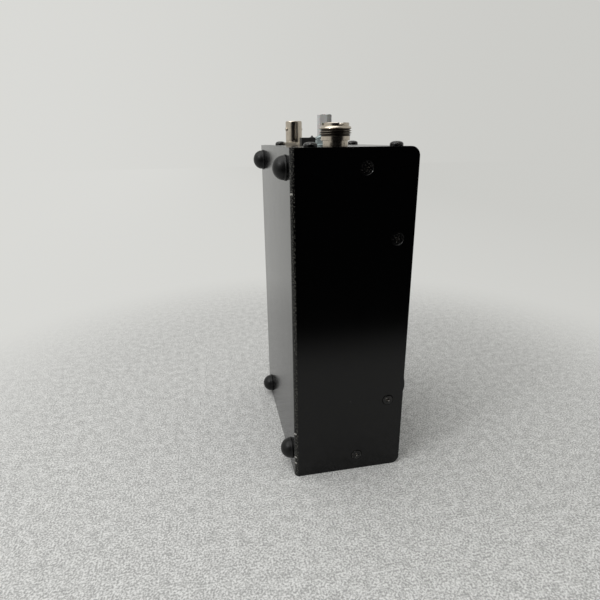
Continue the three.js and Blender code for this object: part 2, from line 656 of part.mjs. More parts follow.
function makeCapacitor(place, name, shaftTop) {
  const { size, plate, depth, tie, journal, rotor, blade, blades, pitch, stator, bar, hub } = CAPACITOR;
  const half = size / 2;
  const front = -SHEET;
  const rear = front - 2 * plate - depth;
  const tieSpot = half - tie - GAP;
  const corners = [[-tieSpot, -tieSpot], [-tieSpot, tieSpot], [tieSpot, -tieSpot], [tieSpot, tieSpot]];
  const frame = cut(
    join(
      block([-half, half], [-half, half], [front - plate, front]),
      block([-half, half], [-half, half], [rear, rear + plate]),
      rod(BUSH.radius, front - plate, BUSH.height),
      ...corners.map((corner) => rod(tie, rear, front, corner, SCREW_ROUND)),
    ),
    rod(SHAFT + GAP, front - plate - OVERRUN, BUSH.height + OVERRUN),
    rod(journal + GAP, rear - OVERRUN, rear + plate + OVERRUN),
  );
  const middle = (front - plate + rear + plate) / 2;
  const firstBlade = middle - ((blades - 1) / 2) * pitch - blade / 2;
  const rotorBlades = Array.from({ length: blades }, (unused, index) => (
    halfDisc(rotor, firstBlade + index * pitch, blade)
  ));
  const spindle = turned([
    [0, rear - OVERRUN],
    [journal, rear - OVERRUN],
    [journal, rear + plate + GAP],
    [hub, rear + plate + GAP],
    [hub, front - plate - GAP],
    [SHAFT, front - plate - GAP],
    [SHAFT, shaftTop],
    [0, shaftTop],
  ]);
  const barSpan = [rear + plate + GAP, front - plate - GAP];
  const barY = half - 2 * (tie + GAP) - bar - GAP;
  const statorEdge = [stator - bar, stator];
  const statorBars = [-barY, barY].map((y) => block(statorEdge, [y - bar / 2, y + bar / 2], barSpan));
  const statorBlades = Array.from({ length: blades - 1 }, (unused, index) => {
    const bottom = firstBlade + (index + 0.5) * pitch;
    const sheet = block([0, stator], [-barY - bar / 2, barY + bar / 2], [bottom, bottom + blade]);
    return cut(sheet, rod(hub + 2 * GAP, bottom - OVERRUN, bottom + blade + OVERRUN));
  });
  addPiece(place, `${name}_frame`, frame, COLOURS.aluminium);
  addPiece(place, `${name}_stator`, join(...statorBlades, ...statorBars), COLOURS.aluminium);
  addPiece(place, `${name}_rotor`, join(spindle, ...rotorBlades), COLOURS.aluminium);
  bushNut(place, `${name}_nut`);
}

function makeSelector(place, shaftTop) {
  const rear = -SHEET - SELECTOR.depth;
  const body = turned([
    [0, rear],
    [SELECTOR.radius, rear],
    [SELECTOR.radius, -SHEET],
    [BUSH.radius, -SHEET],
    [BUSH.radius, BUSH.height],
    [SHAFT + GAP, BUSH.height],
    [SHAFT + GAP, rear + SELECTOR.wafer],
    [0, rear + SELECTOR.wafer],
  ], ROUND);
  const shaft = rod(SHAFT, rear + SELECTOR.wafer + GAP, shaftTop);
  addPiece(place, "selector_body", body, COLOURS.whitePlastic);
  addPiece(place, "selector_shaft", shaft, COLOURS.aluminium);
  bushNut(place, "selector_nut");
  makeCoil(place, rear);
}

// A ring core in a single-layer winding, which leaves a gap between its two ends.
function makeCoil(place, seat) {
  const wound = COIL.wire + GAP;
  const bottom = seat - COIL.height - 2 * wound;
  const core = ring(COIL.inner, COIL.outer, bottom + wound, seat - wound, ROUND);
  const sleeve = cut(
    ring(COIL.inner - wound, COIL.outer + wound, bottom, seat, ROUND),
    ring(COIL.inner - GAP, COIL.outer + GAP, bottom + COIL.wire, seat - COIL.wire, ROUND),
  );
  const bare = THREE.MathUtils.degToRad(360 - COIL.coveredTurn) / 2;
  const reach = 2 * COIL.outer;
  const wedge = new THREE.Shape();
  wedge.moveTo(0, 0);
  wedge.lineTo(reach, -reach * Math.tan(bare));
  wedge.lineTo(reach, reach * Math.tan(bare));
  wedge.closePath();
  const opening = new THREE.ExtrudeGeometry(wedge, {
    depth: COIL.height + 2 * (wound + OVERRUN), bevelEnabled: false,
  });
  opening.translate(0, 0, bottom - OVERRUN);
  addPiece(place, "coil_core", core, COLOURS.ferrite);
  addPiece(place, "coil_winding", cut(sleeve, solidOf(opening)), COLOURS.copper);
}

function makeToggle(place) {
  const bodyTop = -SHEET;
  const bodyBottom = bodyTop - TOGGLE.bodyDepth;
  const body = cut(
    join(
      block(
        [-TOGGLE.bodyLength / 2, TOGGLE.bodyLength / 2],
        [-TOGGLE.bodyWidth / 2, TOGGLE.bodyWidth / 2],
        [bodyBottom, bodyTop],
      ),
      rod(TOGGLE.bush, bodyTop - OVERRUN, TOGGLE.bushHeight),
    ),
    rod(TOGGLE.bushBore, TOGGLE.pivotHeight - TOGGLE.bushBore, TOGGLE.bushHeight + OVERRUN),
  );
  const neck = TOGGLE.leverLength - TOGGLE.tipLength;
  const lever = turned([
    [0, -TOGGLE.leverRoot],
    [TOGGLE.leverRoot, -TOGGLE.leverRoot],
    [TOGGLE.leverRoot, TOGGLE.bushHeight],
    [TOGGLE.leverNeck, neck],
    [TOGGLE.leverTip, neck + TOGGLE.tipRound],
    [TOGGLE.leverTip, TOGGLE.leverLength - TOGGLE.tipRound],
    [TOGGLE.leverTip - TOGGLE.tipRound / 2, TOGGLE.leverLength],
    [0, TOGGLE.leverLength],
  ]);
  const tilted = station(place, [0, 0, TOGGLE.pivotHeight], [0, THREE.MathUtils.degToRad(TOGGLE.tilt), 0]);
  addPiece(place, "toggle_body", body, COLOURS.nickel);
  addPiece(place, "toggle_nut", hexNut(TOGGLE.nutFlats, TOGGLE.bush + GAP, 0, TOGGLE.nutHeight),
    COLOURS.nickel);
  addPiece(tilted, "toggle_lever", lever, COLOURS.nickel);
}

function makeLamp(place) {
  const dome = [];
  const shoulder = LAMP.height - LAMP.radius;
  for (let step = 0; step <= DOME_STEPS; step += 1) {
    const angle = (step / DOME_STEPS) * QUARTER;
    dome.push([LAMP.radius * Math.cos(angle), shoulder + LAMP.radius * Math.sin(angle)]);
  }
  const lens = turned([
    [0, -SHEET - LAMP.flangeHeight],
    [LAMP.flange, -SHEET - LAMP.flangeHeight],
    [LAMP.flange, -SHEET],
    [LAMP.radius, -SHEET],
    ...dome.slice(0, -1),
    [0, LAMP.height],
  ], SCREW_ROUND);
  addPiece(place, "lamp", lens, COLOURS.lamp);
}

makeBaseCover();
makeChassis();
makeFeet();
makeSideScrews();
makeBoardAndStandoffs();
makeUhfSocket();
makeBncSocket();
makePost();
makeGroundTerminal();
makeSlideSwitch();
makeCapacitor(tunePlace, "tune_capacitor", makeKnob(tunePlace, "tune_knob", SMALL_KNOB));
makeCapacitor(loadPlace, "load_capacitor", makeKnob(loadPlace, "load_knob", SMALL_KNOB));
makeSelector(selectorPlace, makeKnob(selectorPlace, "selector_knob", LARGE_KNOB));
makeToggle(togglePlace);
makeLamp(lampPlace);

export default tuner;
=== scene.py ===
# A small manual antenna tuner, standing on its plain end: the case and its fittings, piece by piece.

import math

import bmesh
import bpy
from mathutils import Matrix, Vector


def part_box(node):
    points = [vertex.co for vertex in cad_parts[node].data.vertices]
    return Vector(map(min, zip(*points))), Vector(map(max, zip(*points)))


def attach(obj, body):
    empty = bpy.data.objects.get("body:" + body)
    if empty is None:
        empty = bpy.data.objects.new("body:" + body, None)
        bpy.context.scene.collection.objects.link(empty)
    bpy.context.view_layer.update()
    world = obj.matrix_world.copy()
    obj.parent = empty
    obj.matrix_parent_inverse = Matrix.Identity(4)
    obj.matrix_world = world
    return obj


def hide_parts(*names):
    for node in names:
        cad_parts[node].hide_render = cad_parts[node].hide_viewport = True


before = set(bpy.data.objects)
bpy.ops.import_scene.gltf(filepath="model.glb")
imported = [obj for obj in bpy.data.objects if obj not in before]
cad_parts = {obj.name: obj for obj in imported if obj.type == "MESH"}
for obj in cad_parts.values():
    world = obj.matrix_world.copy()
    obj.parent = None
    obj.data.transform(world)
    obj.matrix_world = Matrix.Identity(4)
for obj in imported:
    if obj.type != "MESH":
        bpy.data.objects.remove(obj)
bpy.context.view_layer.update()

MM = 0.001
QUARTER = math.pi / 2


# ---- Camera ----
# A short lens, about 28 cm from the middle of the case. It looks a little down and to the right, so that
# the near side is seen almost square on.

CAMERA_AT = Vector((-66.97, -259.65, 179.22)) * MM
CAMERA_TURN = math.radians(11.06)
CAMERA_TILT = math.radians(19.47)
CAMERA_ROLL = math.radians(-0.67)
LENS = 27.41
SENSOR = 36

ahead = Vector((
    math.sin(CAMERA_TURN) * math.cos(CAMERA_TILT),
    math.cos(CAMERA_TURN) * math.cos(CAMERA_TILT),
    -math.sin(CAMERA_TILT),
))
level = Vector((math.cos(CAMERA_TURN), -math.sin(CAMERA_TURN), 0))
above = level.cross(ahead)
right = level * math.cos(CAMERA_ROLL) + above * math.sin(CAMERA_ROLL)
up = above * math.cos(CAMERA_ROLL) - level * math.sin(CAMERA_ROLL)

lens = bpy.data.cameras.new("camera")
lens.lens = LENS
lens.sensor_width = SENSOR
lens.clip_start = 0.01
camera = bpy.data.objects.new("camera", lens)
camera.matrix_world = Matrix.Translation(CAMERA_AT) @ Matrix((right, up, -ahead)).transposed().to_4x4()
bpy.context.scene.collection.objects.link(camera)
bpy.context.scene.camera = camera
bpy.context.scene.view_settings.view_transform = "Standard"


# ---- Stage ----
# A pale foam-covered bench that runs out into a pale background, under a wide soft box, with a small lamp
# for glints. The bench ends in front of the case, and what lies beyond its edge is dark.

FLOOR_SIZE = 6.0
FLOOR_LIGHT = (0.72, 0.72, 0.712, 1)
FLOOR_SHADE = (0.34, 0.34, 0.336, 1)
BENCH_EDGE = -0.21
EDGE_BLUR = 0.045
FADE_FROM, FADE_TO = 0.17, 0.36
# The background is pale, with painted shade that darkens it towards the right.
BACKGROUND_LEFT = (0.70, 0.70, 0.675, 1)
BACKGROUND_RIGHT = (0.60, 0.60, 0.575, 1)
DARK_ROOM = (0.004, 0.004, 0.0045, 1)
BLACK = (0, 0, 0, 1)
LAMPS_FACE = Vector((0, 0, 0.09))


class Wire:
    """What a shader node gives out. Arithmetic on it adds Math nodes to the same finish."""

    def __init__(self, finish, socket):
        self.finish = finish
        self.socket = socket

    def maths(self, operation, first, second):
        return self.finish.node("ShaderNodeMath", {"operation": operation}, {0: first, 1: second})

    def __add__(self, other):
        return self.maths("ADD", self, other)

    def __radd__(self, other):
        return self.maths("ADD", other, self)

    def __sub__(self, other):
        return self.maths("SUBTRACT", self, other)

    def __rsub__(self, other):
        return self.maths("SUBTRACT", other, self)

    def __mul__(self, other):
        return self.maths("MULTIPLY", self, other)

    def __abs__(self):
        return self.maths("ABSOLUTE", self, 0)


class Finish:
    """A surface finish. Steady values sit on the shader's own sockets, changing ones are wired in."""

    def __init__(self, name, steady, world=None):
        self.material = world or bpy.data.materials.new(name)
        self.material.use_nodes = True
        self.tree = self.material.node_tree
        self.shader = self.tree.nodes["Background" if world else "Principled BSDF"]
        for socket, value in steady.items():
            self.shader.inputs[socket].default_value = value

    def node(self, kind, settings=None, inputs=None, output=0):
        node = self.tree.nodes.new(kind)
        for key, value in (settings or {}).items():
            setattr(node, key, value)
        for key, value in (inputs or {}).items():
            if isinstance(value, Wire):
                self.tree.links.new(value.socket, node.inputs[key])
            else:
                node.inputs[key].default_value = value
        return Wire(self, node.outputs[output])

    def wire(self, socket, value):
        self.tree.links.new(value.socket, self.shader.inputs[socket])

    def place(self, stretch=(1, 1, 1)):
        """Object coordinates, stretched along the axes."""
        here = self.node("ShaderNodeTexCoord", output="Object")
        return self.node("ShaderNodeMapping", None, {"Vector": here, "Scale": stretch})

    def axes(self, where):
        return [self.node("ShaderNodeSeparateXYZ", None, {0: where}, axis) for axis in range(3)]

    def noise(self, grain, detail=3, where=None):
        """Soft noise whose grain is about this many millimetres."""
        inputs = {"Vector": where or self.place(), "Scale": 1 / (grain * MM), "Detail": detail}
        return self.node("ShaderNodeTexNoise", None, inputs)

    def cells(self, grain):
        """How far each point is from the middle of its cell, of about this many millimetres."""
        inputs = {"Vector": self.place(), "Scale": 1 / (grain * MM)}
        return self.node("ShaderNodeTexVoronoi", None, inputs)

    def rise(self, value, low, high):
        """0 below low and 1 above high, smooth between them; low may be the greater."""
        inputs = {"Value": value, "From Min": low, "From Max": high}
        return self.node("ShaderNodeMapRange", {"interpolation_type": "SMOOTHSTEP"}, inputs)

    def mix(self, mask, first, second):
        """The first colour where mask is 0, the second where it is 1."""
        return self.node("ShaderNodeMix", {"data_type": "RGBA"}, {0: mask, 6: first, 7: second}, 2)

    def tint(self, mask, first, second):
        """A base colour that goes from the first to the second as the mask rises."""
        self.wire("Base Color", self.mix(mask, (*first, 1), (*second, 1)))

    def emboss(self, height, depth, strength=1.0):
        """Bump of this many millimetres between height 0 and 1."""
        inputs = {"Height": height, "Distance": depth * MM, "Strength": strength}
        self.wire("Normal", self.node("ShaderNodeBump", None, inputs))

    def on(self, *pieces):
        for piece in pieces:
            piece.data.materials.clear()
            piece.data.materials.append(self.material)


def start(kind, name, **settings):
    """Adds one primitive under this name, with all else deselected."""
    bpy.ops.object.select_all(action="DESELECT")
    getattr(bpy.ops.mesh, f"primitive_{kind}_add")(**settings)
    piece = bpy.context.object
    piece.name = name
    piece.data.name = name
    return piece


def select(piece, kind, test):
    """In edit mode, selects the verts, edges or faces whose centre passes the test."""
    mode = {"verts": "VERT", "edges": "EDGE", "faces": "FACE"}[kind]
    bpy.ops.mesh.select_mode(type=mode)
    bpy.ops.mesh.select_all(action="DESELECT")
    shape = bmesh.from_edit_mesh(piece.data)
    for part in getattr(shape, kind):
        if kind == "verts":
            centre = part.co
        elif kind == "edges":
            centre = (part.verts[0].co + part.verts[1].co) / 2
        else:
            centre = part.calc_center_median()
        if test(centre, part):
            part.select_set(True)
    shape.select_flush_mode()
    bmesh.update_edit_mesh(piece.data)


def pick(piece):
    """Selects this piece alone."""
    bpy.ops.object.select_all(action="DESELECT")
    bpy.context.view_layer.objects.active = piece
    piece.select_set(True)


def edit(piece):
    pick(piece)
    bpy.ops.object.mode_set(mode="EDIT")


def take_all(mode="VERT"):
    """In edit mode, selects the whole mesh."""
    bpy.ops.mesh.select_mode(type=mode)
    bpy.ops.mesh.select_all(action="SELECT")


def close_edit():
    bpy.ops.object.mode_set(mode="OBJECT")


def settle(piece, place=None):
    """Puts a piece in its place and moves that place into its mesh."""
    if place is not None:
        piece.matrix_basis = place @ piece.matrix_basis
    pick(piece)
    bpy.ops.object.transform_apply(location=True, rotation=True, scale=True)
    return piece


def apply(piece, kind, **settings):
    """Adds a modifier and applies it."""
    modifier = piece.modifiers.new(kind.lower(), kind)
    for key, value in settings.items():
        setattr(modifier, key, value)
    pick(piece)
    bpy.ops.object.modifier_apply(modifier=modifier.name)


def smooth(piece, degrees=35):
    """Smooth shading between faces that meet at less than this angle; the large faces stay flat."""
    pick(piece)
    bpy.ops.object.shade_smooth_by_angle(angle=math.radians(degrees))
    apply(piece, "WEIGHTED_NORMAL", mode="FACE_AREA", weight=50, keep_sharp=True)


bench = start("plane", "bench", size=FLOOR_SIZE)
edit(bench)
bpy.ops.mesh.subdivide(number_cuts=3)
close_edit()
foam = Finish("foam_sheet", {"Roughness": 1.0, "Specular IOR Level": 0.0, "Emission Strength": 1.0})
foam_place = foam.place()
foam_x, foam_y = foam.axes(foam_place)[:2]
foam_reach = foam.node("ShaderNodeVectorMath", {"operation": "LENGTH"}, {0: foam_place}, "Value")
foam_seen = foam.node("ShaderNodeLightPath", output="Is Camera Ray")
foam_mirrored = foam.node("ShaderNodeLightPath", output="Is Glossy Ray")
beyond = foam.rise(foam_y, BENCH_EDGE + EDGE_BLUR, BENCH_EDGE - EDGE_BLUR) * (1 - foam_seen)
faded = foam.rise(foam_reach, FADE_FROM, FADE_TO) * (foam_seen + foam_mirrored * (1 - beyond))
foam_grain = foam.rise(foam.noise(0.9, 3) * 0.8 + foam.noise(5, 2) * 0.2, 0.36, 0.64)
foam_colour = foam.mix(foam_grain, FLOOR_SHADE, FLOOR_LIGHT)
foam.wire("Base Color", foam.mix(faded, foam.mix(beyond, foam_colour, DARK_ROOM), BLACK))
# The far floor shows the background, with its painted shade towards the right.
far_colour = foam.mix(foam.rise(foam_x, -0.5, 0.8), BACKGROUND_LEFT, BACKGROUND_RIGHT)
foam.wire("Emission Color", foam.mix(faded, BLACK, far_colour))
foam.emboss(foam_grain, 0.3, 0.4)
foam.on(bench)

world = bpy.data.worlds.new("studio")
bpy.context.scene.world = world
studio = Finish("studio", {"Strength": 1.0}, world)
across, along = studio.axes(studio.node("ShaderNodeTexCoord", output="Generated"))[:2]
seen = studio.node("ShaderNodeLightPath", output="Is Camera Ray")
# The background seen by the camera, with its painted shade towards the right.
pale = studio.mix(studio.rise(across, -0.4, 0.7), BACKGROUND_LEFT, BACKGROUND_RIGHT)
mirrored = studio.mix(studio.rise(along, -0.80, -0.50), DARK_ROOM, pale)
studio.wire("Color", studio.mix(seen, mirrored, pale))


def add_lamp(name, at, size, energy):
    """A square lamp that faces the middle of the case."""
    lamp = bpy.data.lights.new(name, "AREA")
    lamp.size = size
    lamp.energy = energy
    stand = bpy.data.objects.new(name, lamp)
    facing = (Vector(at) - LAMPS_FACE).to_track_quat("Z", "Y")
    stand.matrix_world = Matrix.Translation(at) @ facing.to_matrix().to_4x4()
    bpy.context.scene.collection.objects.link(stand)


add_lamp("soft_box", (-0.40, -0.10, 1.15), 1.2, 7.5)
add_lamp("glint_lamp", (-0.55, -0.30, 0.62), 0.16, 1.1)


# ---- Base cover ----
# The feet plate and the two bare sides are one steel sheet, bent into a U and powder coated black.
# Its free corners are rounded to the chassis's bends, and eight holes are countersunk for the screws.

SHEET = 1.6 * MM
COVER_BEND = 2.1 * MM
CHASSIS_BEND = 4.5 * MM
SCREW_HOLE = 1.8
COUNTERSINK = 3.25
COVER_WEAR = 1.7 * MM
CHIPS = (8.6, 12.4, 27.5, 155.5)
cover_low, cover_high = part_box("base_cover")
THICKNESS = cover_high.x - cover_low.x
WIDTH = cover_high.y - cover_low.y
LENGTH = cover_high.z - cover_low.z


def outward(piece, test):
    """In edit mode, makes all faces agree, and flips them if one across X fails the test."""
    take_all("FACE")
    bpy.ops.mesh.normals_make_consistent(inside=False)
    shape = bmesh.from_edit_mesh(piece.data)
    shape.faces.ensure_lookup_table()
    if any(not test(face.normal) for face in shape.faces if abs(face.normal.x) > 0.9):
        bpy.ops.mesh.flip_normals()


def cut(piece, cutter, operation="DIFFERENCE"):
    """Cuts or joins one solid with another, which is used up."""
    apply(piece, "BOOLEAN", object=cutter, operation=operation, solver="EXACT")
    bpy.data.objects.remove(cutter)


def merge_slivers(piece, distance):
    """Merges points that a boolean or a bevel left on top of each other."""
    edit(piece)
    take_all()
    bpy.ops.mesh.remove_doubles(threshold=distance)
    close_edit()


def round_edges(piece, width, segments=2, degrees=40):
    merge_slivers(piece, MM / 200)
    apply(
        piece, "BEVEL", width=width, segments=segments, limit_method="ANGLE",
        angle_limit=math.radians(degrees), use_clamp_overlap=True, harden_normals=False,
    )
    merge_slivers(piece, MM / 1000)


def drawn(name, profile):
    """Draws a profile, in millimetres of radius and height, and stays in edit mode."""
    piece = start("plane", name, size=MM)
    bpy.ops.object.mode_set(mode="EDIT")
    take_all()
    bpy.ops.mesh.merge(type="CENTER")
    bpy.ops.transform.translate(value=(profile[0][0] * MM, 0, profile[0][1] * MM))
    for before, after in zip(profile, profile[1:]):
        step = ((after[0] - before[0]) * MM, 0, (after[1] - before[1]) * MM)
        bpy.ops.mesh.extrude_vertices_move(TRANSFORM_OT_translate={"value": step})
    take_all()
    return piece


def turned(name, profile, steps=48):
    """A turned part: its profile is drawn and spun about Z."""
    piece = drawn(name, profile)
    bpy.ops.mesh.spin(steps=steps, angle=4 * QUARTER, center=(0, 0, 0), axis=(0, 0, 1))
    take_all()
    bpy.ops.mesh.remove_doubles(threshold=MM / 500)
    bpy.ops.mesh.normals_make_consistent(inside=False)
    close_edit()
    return piece


def side_place(screw):
    """The frame of a side screw's head, its Z pointing out of the side."""
    low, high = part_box(screw)
    middle = (low + high) / 2
    side = 1 if middle.y > 0 else -1
    head = Vector((middle.x, side * WIDTH / 2, middle.z))
    return Matrix.Translation(head) @ Matrix.Rotation(-side * QUARTER, 4, "X")


def numbered(title, count):
    return [f"{title}_{number}" for number in range(1, count + 1)]


side_screws = numbered("side_screw", 8)

cover = start("plane", "base_cover_sheet", size=1)
cover.scale = (LENGTH, WIDTH, 1)
settle(cover, Matrix.Translation((cover_low.x, 0, LENGTH / 2)) @ Matrix.Rotation(QUARTER, 4, "Y"))
edit(cover)
select(cover, "edges", lambda centre, part: abs(centre.y) > WIDTH / 2 - MM)
bpy.ops.mesh.extrude_edges_move(TRANSFORM_OT_translate={"value": (THICKNESS, 0, 0)})
select(cover, "edges", lambda centre, part: centre.x < cover_low.x + MM and abs(centre.y) > WIDTH / 2 - MM)
bpy.ops.mesh.bevel(offset=COVER_BEND, segments=8, profile=0.36, affect="EDGES")
select(cover, "verts", lambda centre, part: centre.x > cover_high.x - MM)
bpy.ops.mesh.bevel(offset=CHASSIS_BEND, segments=8, affect="VERTICES")
outward(cover, lambda normal: normal.x < 0)
close_edit()
apply(cover, "SOLIDIFY", thickness=SHEET, offset=-1)
for screw in side_screws:
    countersink = turned("countersink", [
        (0, -3), (SCREW_HOLE, -3), (SCREW_HOLE, SCREW_HOLE - COUNTERSINK), (COUNTERSINK, 0),
        (COUNTERSINK, 1), (0, 1),
    ])
    cut(cover, settle(countersink, side_place(screw)))
round_edges(cover, 0.18 * MM)
smooth(cover)

black_paint = Finish("black_paint", {"IOR": 1.375})
paint_x, paint_y, paint_z = black_paint.axes(black_paint.place())
near_plate = black_paint.rise(paint_x, cover_low.x + COVER_BEND, cover_low.x + COVER_WEAR)
near_side = black_paint.rise(abs(paint_y), WIDTH / 2 - COVER_BEND, WIDTH / 2 - COVER_WEAR)
on_bend = near_plate * near_side
orange_peel = black_paint.noise(0.5, 2)
mottle = black_paint.noise(9, 3)
rubbed = on_bend * black_paint.rise(black_paint.noise(0.6, 3), 0.50, 0.64)
chipped = sum(black_paint.rise(abs(paint_z - chip * MM), 0.6 * MM, 0.3 * MM) for chip in CHIPS)
chipped = chipped * black_paint.rise(abs(paint_x - cover_low.x - 0.5 * MM), 0.6 * MM, 0.4 * MM)
chipped = chipped * black_paint.rise(paint_y, 0, -MM)
dust = black_paint.rise(black_paint.cells(9), 0.032, 0.018)
dust = dust * black_paint.rise(black_paint.noise(30, 1), 0.5, 0.6)
paint_colour = black_paint.mix(rubbed, (0.0012, 0.0013, 0.0014, 1), (0.07, 0.068, 0.058, 1))
paint_colour = black_paint.mix(chipped * on_bend * 0.9, paint_colour, (0.42, 0.41, 0.38, 1))
black_paint.wire("Base Color", black_paint.mix(dust * 0.6, paint_colour, (0.25, 0.25, 0.24, 1)))
black_paint.wire("Roughness", 0.14 + mottle * 0.05 + rubbed * 0.3)
black_paint.emboss(orange_peel * 0.5 + rubbed * 0.8, 0.012, 0.4)


def stands_for(piece, finish, slot, body, *nodes):
    """Gives a new piece its finish and its body, in place of these CAD nodes."""
    finish.on(piece, *(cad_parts[node] for node in nodes))
    if nodes:
        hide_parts(*nodes)
    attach(piece, body)


def fit(piece, place, finish, slot, body, node, degrees=35):
    """Smooths a piece and sets it in its place, where it stands for a CAD node."""
    smooth(piece, degrees)
    stands_for(settle(piece, place), finish, slot, body, node)


stands_for(cover, black_paint, "black_paint", "case", "base_cover")


# ---- Chassis ----
# The connector panel, the control panel and the plain end are a second sheet, bent the other way.
# Eight tabs are folded in behind the sides for the screws, and the panels are punched for the fittings.

chassis_low, chassis_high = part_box("chassis")
TAB_WIDTH = 14 * MM
TAB_REACH = 16 * MM
BUSH_HOLE = 4.9
WINDOW_GAP = 0.3 * MM


def panel_spot(node):
    """The middle of a node on the connector panel, at the panel's outer face."""
    low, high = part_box(node)
    return Matrix.Translation(((low.x + high.x) / 2, (low.y + high.y) / 2, LENGTH))


def control_spot(node):
    """The middle of a node on the control panel, with Z pointing out of it."""
    low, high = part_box(node)
    at = Matrix.Translation((cover_high.x, (low.y + high.y) / 2, (low.z + high.z) / 2))
    return at @ Matrix.Rotation(QUARTER, 4, "Y")


def punch(piece, place, radius):
    """Drills a round hole through the panel at a place."""
    cut(piece, settle(turned("punch", [(0, -3), (radius, -3), (radius, 1), (0, 1)], 40), place))


def block(name, low, high):
    """A box between two corners."""
    piece = start("cube", name, size=1)
    piece.scale = Vector(high) - Vector(low)
    piece.location = (Vector(high) + Vector(low)) / 2
    return settle(piece)


chassis = start("plane", "chassis_sheet", size=1)
chassis.scale = (LENGTH, chassis_high.y - chassis_low.y, 1)
settle(chassis, Matrix.Translation((cover_high.x, 0, LENGTH / 2)) @ Matrix.Rotation(QUARTER, 4, "Y"))
edit(chassis)
select(chassis, "edges", lambda centre, part: abs(centre.z - LENGTH / 2) > LENGTH / 2 - MM)
bpy.ops.mesh.extrude_edges_move(TRANSFORM_OT_translate={"value": (chassis_low.x - chassis_high.x, 0, 0)})
select(chassis, "edges", lambda centre, part: (
    centre.x > chassis_high.x - MM and abs(centre.z - LENGTH / 2) > LENGTH / 2 - MM
))
bpy.ops.mesh.bevel(offset=CHASSIS_BEND, segments=10, affect="EDGES")
outward(chassis, lambda normal: normal.x > 0)
close_edit()
apply(chassis, "SOLIDIFY", thickness=SHEET, offset=-1)
for screw in side_screws:
    screw_low, screw_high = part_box(screw)
    screw_x = (screw_low.x + screw_high.x) / 2
    screw_z = (screw_low.z + screw_high.z) / 2
    outer = chassis_high.y if screw_low.y > 0 else chassis_low.y
    inner = outer - math.copysign(SHEET, outer)
    ends = (min(outer, inner), max(outer, inner))
    if screw_x > cover_high.x - TAB_REACH:
        low = (cover_high.x - TAB_REACH, ends[0], screw_z - TAB_WIDTH / 2)
        high = (cover_high.x - SHEET / 2, ends[1], screw_z + TAB_WIDTH / 2)
    elif screw_z > LENGTH / 2:
        low = (screw_x - TAB_WIDTH / 2, ends[0], LENGTH - TAB_REACH)
        high = (screw_x + TAB_WIDTH / 2, ends[1], LENGTH - SHEET / 2)
    else:
        low = (screw_x - TAB_WIDTH / 2, ends[0], SHEET / 2)
        high = (screw_x + TAB_WIDTH / 2, ends[1], TAB_REACH)
    cut(chassis, block("tab", low, high), "UNION")
    drill = turned("drill", [(0, -6), (SCREW_HOLE, -6), (SCREW_HOLE, 1), (0, 1)], 24)
    cut(chassis, settle(drill, side_place(screw)))
panel_screws = numbered("panel_screw", 4)
for node in panel_screws:
    punch(chassis, panel_spot(node), SCREW_HOLE)
for node, radius in [("uhf_shell", 5.6), ("post_bush", 3.5), ("ground_stud", 2.3), ("bnc_nut", 5.15)]:
    punch(chassis, panel_spot(node), radius)
for node in ("tune_knob", "load_knob", "selector_knob"):
    punch(chassis, control_spot(node), BUSH_HOLE)
for node, radius in [("lamp", 1.8), ("toggle_nut", 3.3)]:
    punch(chassis, control_spot(node), radius)
slide_low, slide_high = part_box("slide_switch_body")
margin = Vector((WINDOW_GAP, WINDOW_GAP, 0))
window_low = Vector((slide_low.x, slide_low.y, LENGTH - 3 * MM)) - margin
window_high = Vector((slide_high.x, slide_high.y, LENGTH + 3 * MM)) + margin
cut(chassis, block("window", window_low, window_high))
round_edges(chassis, 0.18 * MM)
smooth(chassis)
stands_for(chassis, black_paint, "black_paint", "case", "chassis")


# ---- Feet ----
# Four moulded rubber domes, each with a thin skirt and a self-adhesive back. They are stuck to the feet
# plate near its corners by hand, so they are not quite in line.

FOOT_RADIUS = 5.95


def copies(model, names, places):
    """A copy of the model, with its own mesh, under each name and in each place."""
    made = []
    for name, place in zip(names, places):
        piece = model.copy()
        piece.data = model.data.copy()
        piece.name = name
        piece.data.name = name
        bpy.context.scene.collection.objects.link(piece)
        made.append(settle(piece, place))
    bpy.data.objects.remove(model)
    return made


def repeat(model, names, nodes, places, finish, slot):
    """A copy of the model on the case for each CAD node."""
    for piece, node in zip(copies(model, names, places), nodes):
        stands_for(piece, finish, slot, "case", node)


foot_profile = [(0, 0), (FOOT_RADIUS, 0), (FOOT_RADIUS, 0.55), (FOOT_RADIUS - 0.25, 0.75)]
for step in range(15):
    bow = QUARTER * step / 14
    foot_profile.append(((FOOT_RADIUS - 0.35) * math.cos(bow), 0.95 + 5.23 * math.sin(bow)))
rubber = Finish("rubber", {"IOR": 1.35})
rubber_bloom = rubber.noise(3.5, 4)
rubber.tint(rubber_bloom, (0.002, 0.002, 0.0021), (0.005, 0.005, 0.0052))
rubber.wire("Roughness", 0.36 + rubber_bloom * 0.12)
rubber.emboss(rubber.noise(0.35, 3), 0.02, 0.5)
foot_model = turned("foot_model", foot_profile, 48)
round_edges(foot_model, 0.1 * MM)
smooth(foot_model, 50)
feet = numbered("foot", 4)
foot_places = []
for node in feet:
    low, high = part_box(node)
    stand = Matrix.Translation((cover_low.x, (low.y + high.y) / 2, (low.z + high.z) / 2))
    foot_places.append(stand @ Matrix.Rotation(-QUARTER, 4, "Y"))
repeat(foot_model, numbered("rubber_foot", 4), feet, foot_places, rubber, "rubber")


# ---- Screws ----
# Black-oxide steel with cross recesses: flat heads sunk in the two sides, pan heads on the connector
# panel that reach into the standoffs of the board.


def cross_recess(piece, top, depth, reach, width):
    """Sinks a tapered cross into a screw head, in millimetres."""
    for turn in (0, QUARTER):
        blade = start("cube", "blade", size=1)
        blade.scale = (2 * reach * MM, width * MM, 2 * depth * MM)
        blade.location = (0, 0, top * MM)
        settle(blade)
        edit(blade)
        select(blade, "faces", lambda centre, part: part.normal.z < -0.5)
        bpy.ops.transform.resize(value=(0.45, 0.7, 1))
        close_edit()
        cut(piece, settle(blade, Matrix.Rotation(turn, 4, "Z")))


